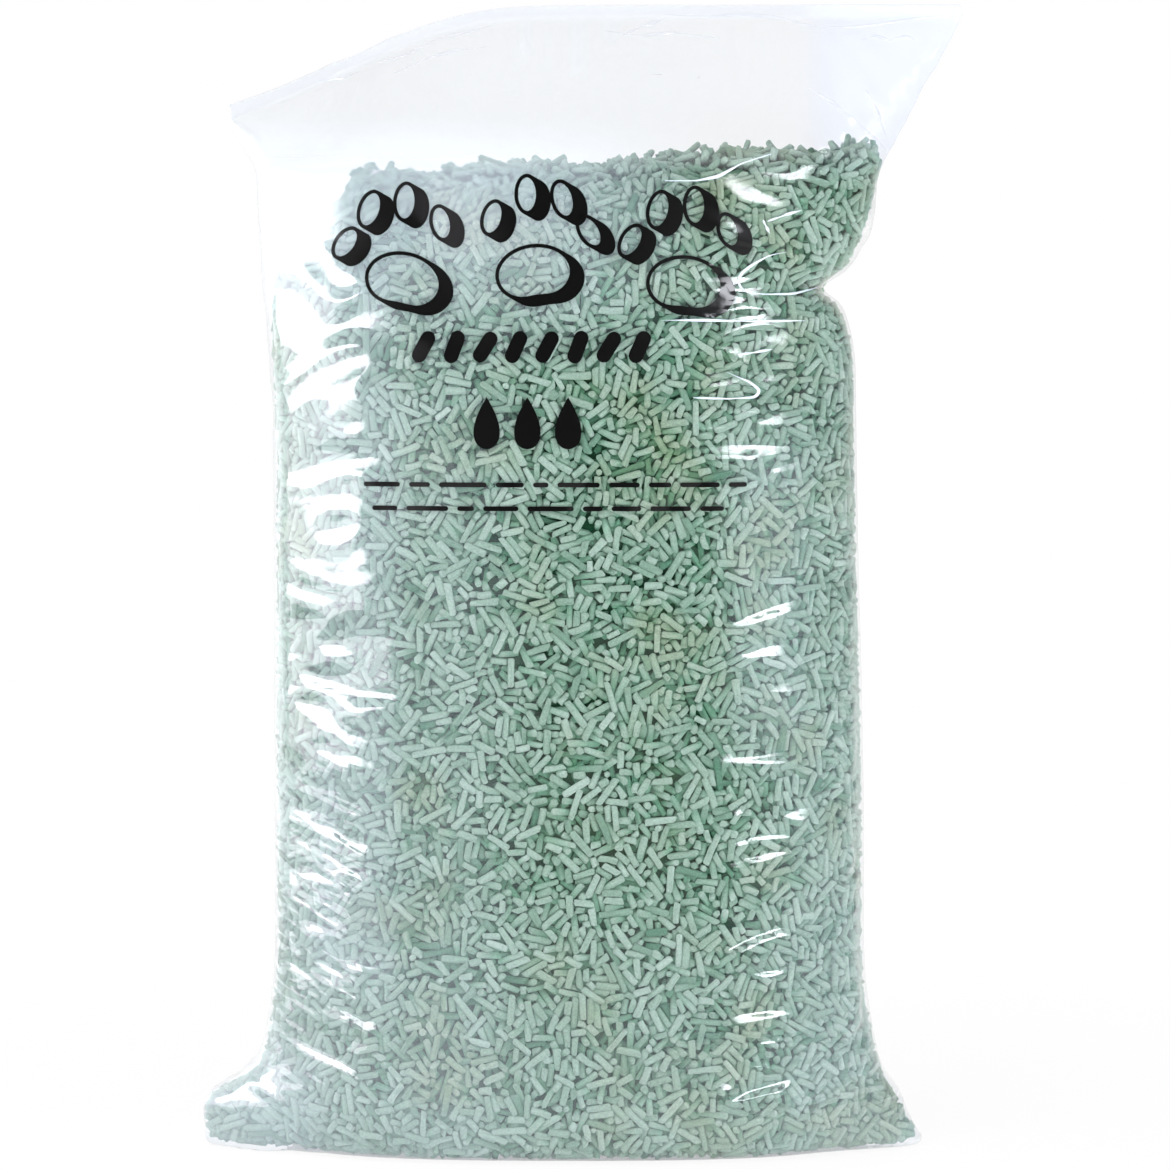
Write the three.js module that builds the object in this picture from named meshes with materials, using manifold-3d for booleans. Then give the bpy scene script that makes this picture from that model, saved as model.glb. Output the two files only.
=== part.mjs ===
// A clear film sack of absorbent litter pellets, standing on its base.
// Millimetres, +Z up, +X to the right as seen from the front, +Y to the back.
// The origin is on the floor, below the middle of the sack's bounding box.
//
// The sack is a tube of clear film, welded flat across its bottom and its top. Filled, it stands as a
// pillow: the ends of the bottom weld stick out as two ears, and above the litter the slack film runs up
// to the top weld. The litter inside is one settled mass, and its loose top shows the separate pellets.

import * as THREE from "three";
import { mergeVertices } from "three/addons/utils/BufferGeometryUtils.js";
import Module from "manifold-3d";

const wasm = await Module();
wasm.setup();

const { lerp, smoothstep, seededRandom } = THREE.MathUtils;
const TURN = 2 * Math.PI;

// Film
const FILM = 0.5; // wall of the film
const CLEARANCE = 0.5; // between the film and the litter
const WELD_HEIGHT = 10; // band of the top weld, up to the cut edge
const WELD_SLIT = 0.15; // half of what is left between the sheets where the weld begins

// Body: how far the wall reaches from the middle to each side
const LEFT_REACH = 221;
const RIGHT_REACH = 211;
const HALF_DEPTH = 110;
const SECTION_POWER = 2.6; // of the superellipse that a level cut makes
const RIGHT_TAPER = 7; // how much narrower the right side gets over TAPER_SPAN
const TAPER_SPAN = [200, 570];

// Foot: the base is smaller than the body, and its edge is rounded
const BASE_INSET = 24;
const FOOT_HEIGHT = 46;

// Ears at the two ends of the bottom weld
const LEFT_EAR = 46; // blunt: full up to the first height, gone at the second
const LEFT_EAR_SPAN = [34, 62];
const RIGHT_EAR = 42; // pointed: thins evenly
const RIGHT_EAR_TOP = 62;
const RIGHT_EAR_HOLLOW = 1.2; // how hollow its upper edge is
const EAR_SKIRT = 14; // flare of the wall above both ears
const EAR_SKIRT_SPAN = [40, 140];
const EAR_SHARPNESS = 26;
const EAR_UNDERCUT = 0.3; // share of the base's inset that an ear keeps

// Shoulder: where the slack film leaves the litter
const SHOULDER = 715;
const SHOULDER_SPAN = [520, SHOULDER];
const SHOULDER_DEPTH_LOSS = 14;
const LEFT_SHOULDER_GAIN = 12;
const RIGHT_SHOULDER_GAIN = 27;

// Neck: the deep fold under the right shoulder
const NECK = 628;
const NECK_DEPTH = 13;
const NECK_SPREAD = 26;

// Slack film and top weld
const TOP = 834;
const TOP_LEFT_REACH = 252;
const TOP_RIGHT_REACH = 281;
const TOP_SLUMP = 81; // how much lower the weld is at its left end
const TOP_SLUMP_SPAN = [-300, -40];
const RUFFLE = 8; // how far the weld waves forwards and back
const RUFFLE_PITCH = 230;
const CLOSING_POWER = 0.85; // how the slack film closes towards the weld
const PLEAT = 0.16; // share of the depth by which the slack film gathers in and out
const PLEAT_PITCH = 170;

// Shallow ripples where the wall gathers round its four corners
const RIPPLE = 0.014; // share of the reach
const RIPPLE_PITCH = 122;
const RIPPLE_RISE = [110, 190];
const RIPPLE_FADE = [560, 620];

// Litter
const HEAP_EDGE = 694; // where the litter leaves the film
const HEAP = 728; // height of its top
const HEAP_SLUMP = 26; // how much lower it is at its left end
const HEAP_SLUMP_SPAN = [-235, -40];
const HEAP_CROWN = 22; // fall from the middle to the front and back
const HEAP_FLATNESS = 6;
const HEAP_SHARES = [0.93, 0.82, 0.66, 0.46, 0.24, 0.06]; // levels of the heap, as shares of its edge

// Loose pellets on the heap
const PELLET_RADIUS = 3.2;
const PELLET_LENGTH = [12, 27];
const PELLET_SIDES = 6;
const PELLET_TILT = 0.5; // steepest, in radians
const LOOSE_PELLETS = 104;
const LOOSE_REACH = 0.84; // share of the heap that they cover
const GOLDEN_TURN = (3 - Math.sqrt(5)) / 2; // of a turn from each one to the next
const SEED = 55;

// Vent pinholes through the back sheet, between the shoulder and the top weld
const VENT_RADIUS = 1.5;
const VENT_SIDES = 8;
const VENT_PLACES = [30, 60, 90]; // along X
const VENT_SHARE = 0.6; // of the way from the shoulder to the weld

// Levels of the mesh
const AROUND = 40; // points round a level
const FOOT_LEVELS = [0, 4, 11, 20, 31, 43, 56, 74];
const WALL_LEVELS = 17;
const WALL_SPAN = [98, 580];
const NECK_LEVELS = [602, 616, 629, 642, 657, 674, HEAP_EDGE];
const SLACK_SHARES = [0, 0.12, 0.27, 0.44, 0.62, 0.8, 0.93, 1]; // from the shoulder to the weld

const fade = (value, [from, to]) => 1 - smoothstep(value, from, to);
const bell = (value, centre, spread) => Math.exp(-(((value - centre) / spread) ** 2));
const rounded = (value) => Math.sign(value) * Math.abs(value) ** (2 / SECTION_POWER);

// How far the rounded foot draws the wall in at a height.
function footInset(z) {
  const below = Math.max(1 - z / FOOT_HEIGHT, 0);
  return BASE_INSET * (1 - Math.sqrt(1 - below * below));
}

// How far an ear's tip stands out past the wall at a height.
function earReach(z, toRight) {
  const pointed = RIGHT_EAR * Math.max(1 - z / RIGHT_EAR_TOP, 0) ** RIGHT_EAR_HOLLOW;
  const tip = toRight ? pointed : LEFT_EAR * fade(z, LEFT_EAR_SPAN);
  return tip + EAR_SKIRT * fade(z, EAR_SKIRT_SPAN) + (1 - EAR_UNDERCUT) * footInset(z);
}

// How far the wall reaches to one side at a height, ears apart.
function wallReach(z, toRight) {
  if (!toRight) return LEFT_REACH + LEFT_SHOULDER_GAIN * smoothstep(z, ...SHOULDER_SPAN) - footInset(z);
  const narrowed = RIGHT_REACH - RIGHT_TAPER * smoothstep(z, ...TAPER_SPAN);
  const shoulder = RIGHT_SHOULDER_GAIN * smoothstep(z, NECK, SHOULDER);
  return narrowed + shoulder - NECK_DEPTH * bell(z, NECK, NECK_SPREAD) - footInset(z);
}

const wallDepth = (z) => HALF_DEPTH - SHOULDER_DEPTH_LOSS * smoothstep(z, ...SHOULDER_SPAN) - footInset(z);

// Share by which the wall swells and gathers round its corners.
function ripple(angle, z) {
  const corners = Math.sin(2 * angle) ** 2;
  const height = smoothstep(z, ...RIPPLE_RISE) * fade(z, RIPPLE_FADE);
  return RIPPLE * corners * height * Math.sin((TURN * z) / RIPPLE_PITCH + 2 * Math.cos(angle));
}

// A point of the wall at a place round the sack and a height, drawn in by an inset.
function wallPoint(place, z, inset) {
  const angle = (TURN * place) / AROUND;
  const across = Math.cos(angle);
  const deep = place % (AROUND / 2) === 0 ? 0 : Math.sin(angle);
  const toRight = across > 0;
  const ear = Math.sign(across) * earReach(z, toRight) * Math.abs(across) ** EAR_SHARPNESS;
  const swell = 1 + ripple(angle, z);
  const x = (wallReach(z, toRight) - inset) * rounded(across) * swell + ear;
  const y = (wallDepth(z) - inset) * rounded(deep) * swell;
  return new THREE.Vector3(x, y, Math.max(z, inset));
}

// Height of the cut edge above the top weld.
const topEdge = (x) => TOP - TOP_SLUMP * fade(x, TOP_SLUMP_SPAN);

// How far the slack film leans forwards or back at a share of the way up to the weld.
const leanAt = (x, share) => RUFFLE * share * Math.sin((TURN * x) / RUFFLE_PITCH);

// A point of the slack film, from the shoulder (share 0) to where the weld begins (share 1).
function slackPoint(place, share, inset) {
  const shoulder = wallPoint(place, SHOULDER, inset);
  const toRight = shoulder.x > 0;
  const flare = (toRight ? TOP_RIGHT_REACH : TOP_LEFT_REACH) / wallReach(SHOULDER, toRight);
  const x = shoulder.x * lerp(1, flare, share);
  const pleat = 1 + PLEAT * Math.sin((TURN * x) / PLEAT_PITCH) * 4 * share * (1 - share);
  const open = (1 - share) ** CLOSING_POWER * pleat;
  const half = lerp(FILM + WELD_SLIT - inset, Math.abs(shoulder.y), open);
  const z = lerp(SHOULDER, topEdge(x) - WELD_HEIGHT, share);
  return new THREE.Vector3(x, leanAt(x, share) + Math.sign(shoulder.y) * half, z);
}

// A point of the cut edge above the weld.
function edgePoint(place) {
  const weld = slackPoint(place, 1, 0);
  return weld.setZ(topEdge(weld.x));
}

// A point of the heap, at a share of the way from its middle to its edge.
function heapPoint(place, share, inset) {
  const { x, y } = wallPoint(place, HEAP_EDGE, inset).multiplyScalar(share);
  const crown = HEAP - HEAP_SLUMP * fade(x, HEAP_SLUMP_SPAN) - HEAP_CROWN * (y / HALF_DEPTH) ** 2;
  return new THREE.Vector3(x, y, lerp(crown, HEAP_EDGE, share ** HEAP_FLATNESS));
}

// The closed body that a stack of levels bounds, each level a function of the place round the sack.
function loft(levels) {
  const vertices = levels.flatMap((level) => Array.from({ length: AROUND }, (_, place) => level(place)));
  const index = [];
  const last = (levels.length - 1) * AROUND;
  for (let base = 0; base < last; base += AROUND) {
    for (let place = 0; place < AROUND; place += 1) {
      const next = (place + 1) % AROUND;
      const [a, b, c, d] = [base + place, base + next, base + AROUND + next, base + AROUND + place];
      index.push(a, b, c, a, c, d);
    }
  }
  // The ends are closed straight across, from the back half of the level to its front half.
  for (let back = 0; back < AROUND / 2; back += 1) {
    const front = (AROUND - back) % AROUND;
    if (back > 0) index.push(front, back + 1, back, last + back, last + back + 1, last + front);
    if (back + 1 < AROUND / 2 || back === 0) {
      index.push(front, front === 0 ? AROUND - 1 : front - 1, back + 1);
      index.push(last + back + 1, last + (front === 0 ? AROUND - 1 : front - 1), last + front);
    }
  }
  const geometry = new THREE.BufferGeometry().setFromPoints(vertices);
  return geometry.setIndex(index);
}

// A geometry as a solid for cuts and joins.
function solid(geometry) {
  const bare = geometry.clone();
  bare.deleteAttribute("normal");
  bare.deleteAttribute("uv");
  const merged = mergeVertices(bare, 1e-4);
  const vertProperties = new Float32Array(merged.attributes.position.array);
  const triVerts = new Uint32Array(merged.index.array);
  return new wasm.Manifold(new wasm.Mesh({ numProp: 3, vertProperties, triVerts }));
}

// The geometry of a solid.
function geometryOf(body) {
  const { vertProperties, triVerts } = body.getMesh();
  const geometry = new THREE.BufferGeometry();
  geometry.setAttribute("position", new THREE.BufferAttribute(new Float32Array(vertProperties), 3));
  geometry.setIndex(new THREE.BufferAttribute(new Uint32Array(triVerts), 1));
  geometry.computeVertexNormals();
  return geometry;
}

const wallHeights = [
  ...FOOT_LEVELS,
  ...Array.from({ length: WALL_LEVELS }, (_, level) => lerp(...WALL_SPAN, level / (WALL_LEVELS - 1))),
  ...NECK_LEVELS,
];
const wallLevels = (inset) => wallHeights.map((z) => (place) => wallPoint(place, z, inset));
const slackLevels = (inset) => SLACK_SHARES.map((share) => (place) => slackPoint(place, share, inset));

// The film: the outside, less the hollow and the vents.
function filmGeometry() {
  const outside = solid(loft([...wallLevels(0), ...slackLevels(0), edgePoint]));
  const hollow = solid(loft([...wallLevels(FILM), ...slackLevels(FILM)]));
  const vents = VENT_PLACES.map((x) => {
    const vent = new THREE.CylinderGeometry(VENT_RADIUS, VENT_RADIUS, HALF_DEPTH, VENT_SIDES);
    const z = lerp(SHOULDER, topEdge(x) - WELD_HEIGHT, VENT_SHARE);
    return solid(vent.translate(x, HALF_DEPTH / 2 + 2 * RUFFLE, z));
  });
  return geometryOf(vents.reduce((film, vent) => film.subtract(vent), outside.subtract(hollow)));
}

// The litter: the settled mass, joined to the loose pellets on its heap.
function litterGeometry() {
  const inset = FILM + CLEARANCE;
  const heap = HEAP_SHARES.map((share) => (place) => heapPoint(place, share, inset));
  let litter = solid(loft([...wallLevels(inset), ...heap]));
  seededRandom(SEED);
  for (let count = 0; count < LOOSE_PELLETS; count += 1) {
    const place = (AROUND * count * GOLDEN_TURN) % AROUND;
    const share = LOOSE_REACH * Math.sqrt((count + 0.5) / LOOSE_PELLETS);
    const length = lerp(...PELLET_LENGTH, seededRandom());
    const tilt = PELLET_TILT * (2 * seededRandom() - 1);
    const heading = TURN * seededRandom();
    const pellet = new THREE.CylinderGeometry(PELLET_RADIUS, PELLET_RADIUS, length, PELLET_SIDES);
    pellet.rotateX(tilt).rotateZ(heading);
    litter = litter.add(solid(pellet.translate(...heapPoint(place, share, inset))));
  }
  return geometryOf(litter);
}

const film = new THREE.Mesh(
  filmGeometry(),
  new THREE.MeshStandardMaterial({ color: 0xf4f7f9, roughness: 0.1, transparent: true, opacity: 0.25 }),
);
film.name = "film_bag";

const litter = new THREE.Mesh(
  litterGeometry(),
  new THREE.MeshStandardMaterial({ color: 0x94ae9f, roughness: 0.9 }),
);
litter.name = "litter_fill";

const sack = new THREE.Group();
sack.add(film, litter);

// The origin goes below the middle of the film's box.
const middle = new THREE.Box3().setFromObject(film).getCenter(new THREE.Vector3());
sack.position.set(-middle.x, -middle.y, 0);

export default sack;
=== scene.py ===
"""A clear film sack of litter pellets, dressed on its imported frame.

The film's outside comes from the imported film_bag, made smooth and gathered. The pellets are settled inside
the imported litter_fill. Plain ink lies on the film's front, and a plain studio lights it all.
"""

import logging
import math
from collections.abc import Iterator
from contextlib import contextmanager
from dataclasses import dataclass, field
from enum import Enum, IntEnum

import bmesh
import bpy
import numpy as np
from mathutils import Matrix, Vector, noise
from mathutils.bvhtree import BVHTree


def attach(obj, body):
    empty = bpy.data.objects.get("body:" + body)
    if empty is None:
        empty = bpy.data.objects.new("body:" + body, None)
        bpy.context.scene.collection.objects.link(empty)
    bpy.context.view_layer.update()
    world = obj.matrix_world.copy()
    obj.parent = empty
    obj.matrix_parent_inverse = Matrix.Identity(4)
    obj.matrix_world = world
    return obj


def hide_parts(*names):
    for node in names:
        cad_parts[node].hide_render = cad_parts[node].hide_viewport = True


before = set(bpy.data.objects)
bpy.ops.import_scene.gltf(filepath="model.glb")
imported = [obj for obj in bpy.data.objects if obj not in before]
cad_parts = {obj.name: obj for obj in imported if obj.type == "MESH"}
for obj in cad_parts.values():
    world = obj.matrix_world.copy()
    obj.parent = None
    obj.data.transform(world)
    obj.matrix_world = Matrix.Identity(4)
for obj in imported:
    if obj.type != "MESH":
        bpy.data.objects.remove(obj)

LOG = logging.getLogger("litter_sack")
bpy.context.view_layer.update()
BODY = "root"
MM = 0.001
HAIR = 1e-5
TINY = 1e-9
SIX_WAYS = ((1, 0, 0), (-1, 0, 0), (0, 1, 0), (0, -1, 0), (0, 0, 1), (0, 0, -1))

Colour = tuple[float, float, float, float]
Span = tuple[float, float]
Line = tuple[tuple[float, float], ...]
WHITE: Colour = (1.0, 1.0, 1.0, 1.0)


class Slot(Enum):
    """The record's material slots."""

    FILM = "film"
    LITTER = "litter"


class Role(Enum):
    """What a lamp is for."""

    SHADE = "lights matt surfaces"
    GLARE = "shows in glossy surfaces"


class Axis(IntEnum):
    """The sack's axes: to the right, to the back and up."""

    X = 0
    Y = 1
    Z = 2


# Helpers for meshes


def deselect_all() -> None:
    """Leaves object mode with nothing selected."""
    if bpy.context.mode != "OBJECT":
        bpy.ops.object.mode_set(mode="OBJECT")
    bpy.ops.object.select_all(action="DESELECT")


def activate(piece: bpy.types.Object) -> None:
    """Makes a piece the only selected and the active object."""
    deselect_all()
    piece.select_set(True)
    bpy.context.view_layer.objects.active = piece


@contextmanager
def edit_mode(piece: bpy.types.Object) -> Iterator[None]:
    """Opens a piece for mesh operators, and closes it again."""
    activate(piece)
    bpy.ops.object.mode_set(mode="EDIT")
    yield
    bpy.ops.object.mode_set(mode="OBJECT")


def apply_modifier(piece: bpy.types.Object, kind: str, **settings: object) -> None:
    """Adds a modifier to a piece and applies it.

    Args:
        piece: The object to change.
        kind: Blender's name for the modifier's type.
        settings: Values of the modifier's properties.
    """
    activate(piece)
    modifier = piece.modifiers.new(kind.title(), kind)
    for name, value in settings.items():
        setattr(modifier, name, value)
    bpy.ops.object.modifier_apply(modifier=modifier.name)


def join(pieces: list[bpy.types.Object], name: str) -> bpy.types.Object:
    """Joins pieces into one.

    Args:
        pieces: The objects to join.
        name: The joined object's name.

    Returns:
        The joined object, selected and active.
    """
    deselect_all()
    for piece in pieces:
        piece.select_set(True)
    bpy.context.view_layer.objects.active = pieces[0]
    bpy.ops.object.join()
    pieces[0].name = name
    return pieces[0]


def copy_of_node(node: str, name: str) -> bpy.types.Object:
    """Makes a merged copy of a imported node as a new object.

    Args:
        node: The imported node's name.
        name: The new object's name.

    Returns:
        The new object, with its place in its mesh.
    """
    piece = bpy.data.objects.new(name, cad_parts[node].data.copy())
    piece.data.materials.clear()
    bpy.context.scene.collection.objects.link(piece)
    with edit_mode(piece):
        bpy.ops.mesh.select_all(action="SELECT")
        bpy.ops.mesh.remove_doubles(threshold=HAIR)
    return piece


def points_of(piece: bpy.types.Object) -> np.ndarray:
    """Reads a mesh's vertices as an array of rows x, y, z."""
    flat = np.empty(len(piece.data.vertices) * 3, np.float32)
    piece.data.vertices.foreach_get("co", flat)
    return flat.reshape(-1, 3).astype(float)


def normals_of(piece: bpy.types.Object) -> np.ndarray:
    """Reads a mesh's vertex normals as an array of rows x, y, z."""
    flat = np.empty(len(piece.data.vertices) * 3, np.float32)
    piece.data.vertex_normals.foreach_get("vector", flat)
    return flat.reshape(-1, 3).astype(float)


def set_points(piece: bpy.types.Object, points: np.ndarray) -> None:
    """Writes a mesh's vertices back."""
    piece.data.vertices.foreach_set("co", points.astype(np.float32).ravel())
    piece.data.update()


def set_values(piece: bpy.types.Object, name: str, values: np.ndarray) -> None:
    """Writes one value for each vertex, as an attribute that a material can read."""
    layer = piece.data.attributes.new(name, "FLOAT", "POINT")
    layer.data.foreach_set("value", values.astype(np.float32))


def tree_of(*pieces: bpy.types.Object) -> BVHTree:
    """Makes one search tree of the faces of some pieces.

    Args:
        pieces: The objects to search.

    Returns:
        The tree.
    """
    points, polygons = [], []
    for piece in pieces:
        start = len(points)
        points += points_of(piece).tolist()
        polygons += [[start + corner for corner in face.vertices] for face in piece.data.polygons]
    return BVHTree.FromPolygons(points, polygons)


# Helpers for shapes


def ease(low: float, high: float, value: np.ndarray) -> np.ndarray:
    """Eases from 0 at low to 1 at high."""
    share = np.clip((value - low) / (high - low), 0.0, 1.0)
    return share * share * (3.0 - 2.0 * share)


def unit(rows: np.ndarray) -> np.ndarray:
    """Scales each row to length 1."""
    return rows / np.maximum(np.linalg.norm(rows, axis=-1, keepdims=True), TINY)


def field_noise(points: np.ndarray, grain: tuple[float, float, float], seed: float) -> np.ndarray:
    """Samples smooth noise with its own grain along each axis.

    Args:
        points: Rows of x, y, z in metres.
        grain: The noise's size along x, y and z, in millimetres.
        seed: Shifts the noise.

    Returns:
        One value for each row, from about -1 to 1.
    """
    scaled = points / (np.asarray(grain) * MM) + seed
    return np.array([noise.noise(Vector(row)) for row in scaled.tolist()])


@dataclass(frozen=True)
class Fade:
    """A soft step along an axis: 0 at low and 1 at high, in millimetres."""

    axis: Axis
    low: float
    high: float

    def share(self, places: np.ndarray) -> np.ndarray:
        """Finds the step at rows of x, y, z in millimetres."""
        return ease(self.low, self.high, places[:, self.axis])


@dataclass(frozen=True)
class Bell:
    """A soft bump along an axis: 1 at its centre, in millimetres."""

    axis: Axis
    centre: float
    spread: float

    def share(self, places: np.ndarray) -> np.ndarray:
        """Finds the bump at rows of x, y, z in millimetres."""
        return np.exp(-(((places[:, self.axis] - self.centre) / self.spread) ** 2))


def shares(fades: tuple[Fade | Bell, ...], places: np.ndarray, full: float = 1.0) -> np.ndarray:
    """Multiplies soft steps and bumps.

    Args:
        fades: The steps and bumps.
        places: Rows of x, y, z in millimetres.
        full: The value where all of them are 1.

    Returns:
        One value for each row.
    """
    share = np.full(len(places), full)
    for fade in fades:
        share = share * fade.share(places)
    return share


@dataclass(frozen=True)
class Shift:
    """A soft push of part of a shape along an axis, in millimetres."""

    axis: Axis
    amount: float
    fades: tuple[Fade | Bell, ...]


def pushed(points: np.ndarray, shifts: tuple[Shift, ...]) -> np.ndarray:
    """Pushes points by some shifts, each read where the points were at first.

    Args:
        points: Rows of x, y, z in metres.
        shifts: The shifts.

    Returns:
        The moved rows.
    """
    places = points / MM
    moved = points.copy()
    for shift in shifts:
        moved[:, shift.axis] += shares(shift.fades, places, shift.amount * MM)
    return moved


@dataclass(frozen=True)
class Lean:
    """How the front leans back above the crease that runs down from the left shoulder, in millimetres."""

    crease: Span = (-226.0, 701.0)
    above_crease: Span = (0.675, 0.738)
    reach: float = 60.0
    slope: float = 0.14
    fades: tuple[Fade, ...] = (Fade(Axis.X, -40, -120), Fade(Axis.Y, 0, -40), Fade(Axis.Z, 800, 720))

    def lean(self, points: np.ndarray) -> np.ndarray:
        """Leans points back.

        Args:
            points: Rows of x, y, z in metres.

        Returns:
            The moved rows.
        """
        places = points / MM
        x, _, z = places.T
        right, up = self.above_crease
        above = np.clip(right * (x - self.crease[0]) + up * (z - self.crease[1]), 0, self.reach)
        leaning = points.copy()
        leaning[:, Axis.Y] += self.slope * above * shares(self.fades, places) * MM
        return leaning


# The sharp fold under the right shoulder
PINCH = (Shift(Axis.X, -13, (Bell(Axis.Z, 629, 8), Fade(Axis.X, 120, 205))),)

# The slack film drawn in to the heap at the right shoulder
TUCK = (Shift(Axis.X, -11, (Fade(Axis.Z, 655, 715), Fade(Axis.Z, 850, 725), Fade(Axis.X, 150, 225))),)

LEFT_LEAN = Lean()


# Helpers for materials


class NodeTree:
    """A material's, a lamp's or a world's node tree, built by short calls."""

    def __init__(self, owner: bpy.types.ID) -> None:
        """Clears the owner's nodes."""
        owner.use_nodes = True
        self.tree = owner.node_tree
        self.tree.nodes.clear()

    def add(self, kind: str, inputs: dict | None = None, **settings: object) -> bpy.types.Node:
        """Adds a node.

        Args:
            kind: The node's type, without its prefix.
            inputs: A value or an output socket for each input, by name or number.
            settings: Values of the node's properties.

        Returns:
            The node.
        """
        node = self.tree.nodes.new("ShaderNode" + kind)
        for name, value in settings.items():
            setattr(node, name, value)
        for key, value in (inputs or {}).items():
            if isinstance(value, bpy.types.NodeSocket):
                self.tree.links.new(value, node.inputs[key])
            else:
                node.inputs[key].default_value = value
        return node

    def math(self, operation: str, *values: object) -> bpy.types.NodeSocket:
        """Adds a Math node and returns its output."""
        return self.add("Math", dict(enumerate(values)), operation=operation).outputs[0]

    def attribute(self, name: str) -> bpy.types.NodeSocket:
        """Reads a value that the mesh holds for each vertex."""
        return self.add("Attribute", attribute_name=name).outputs["Fac"]

    def grain(self, place: bpy.types.NodeSocket, scale: float, detail: float) -> bpy.types.NodeSocket:
        """Adds noise and returns its height."""
        return self.add("TexNoise", {"Vector": place, "Scale": scale, "Detail": detail}).outputs["Fac"]

    def mixed(self, share: object, first: object, second: object) -> bpy.types.NodeSocket:
        """Mixes two shaders."""
        return self.add("MixShader", {0: share, 1: first, 2: second}).outputs[0]

    def blended(self, share: object, first: object, second: object) -> bpy.types.NodeSocket:
        """Mixes two colours."""
        return self.add("MixRGB", {"Fac": share, "Color1": first, "Color2": second}).outputs[0]

    def times(self, first: object, second: object) -> bpy.types.NodeSocket:
        """Multiplies two colours."""
        return self.add("VectorMath", {0: first, 1: second}, operation="MULTIPLY").outputs[0]

    def parts(self, vector: bpy.types.NodeSocket) -> tuple[bpy.types.NodeSocket, ...]:
        """Parts a vector into x, y and z."""
        return tuple(self.add("SeparateXYZ", {0: vector}).outputs)

    def span(
        self, value: bpy.types.NodeSocket, source: Span, target: Span = (0.0, 1.0), **settings: object
    ) -> bpy.types.NodeSocket:
        """Maps a value from one range to another, and keeps it inside.

        Args:
            value: The value.
            source: The range that it comes from.
            target: The range that it goes to.
            settings: Values of the node's properties.

        Returns:
            The mapped value.
        """
        ends = {"From Min": source[0], "From Max": source[1], "To Min": target[0], "To Max": target[1]}
        return self.add("MapRange", {"Value": value, **ends}, **settings).outputs[0]


def new_material(name: str) -> tuple[bpy.types.Material, NodeTree]:
    """Makes a material with an empty node tree."""
    material = bpy.data.materials.new(name)
    return material, NodeTree(material)


@dataclass(frozen=True)
class Gloss:
    """How film and what is printed on it mirror the room: a sharp image within a broad sheen."""

    head_on: float = 0.085
    roughness: float = 0.045
    sheen_share: float = 0.28
    sheen_roughness: float = 0.42
    facing_blend: float = 0.5
    rim_power: float = 5.0

    def over(
        self, nodes: NodeTree, under: bpy.types.NodeSocket, **normal: bpy.types.NodeSocket
    ) -> bpy.types.NodeSocket:
        """Lays the gloss over a shader, stronger where the surface is seen from the side.

        Args:
            nodes: The material's node tree.
            under: The shader below.
            normal: The bumped normal as Normal, or nothing.

        Returns:
            The mixed shader.
        """
        sharp, broad = (
            nodes.add(
                "BsdfAnisotropic", {"Color": WHITE, "Roughness": spread, **normal}, distribution="BECKMANN"
            ).outputs[0]
            for spread in (self.roughness, self.sheen_roughness)
        )
        facing = nodes.add("LayerWeight", {"Blend": self.facing_blend}).outputs["Facing"]
        rim = nodes.math("POWER", facing, self.rim_power)
        mirror = nodes.math("MULTIPLY_ADD", rim, 1.0 - self.head_on, self.head_on)
        return nodes.mixed(mirror, under, nodes.mixed(self.sheen_share, sharp, broad))


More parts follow.
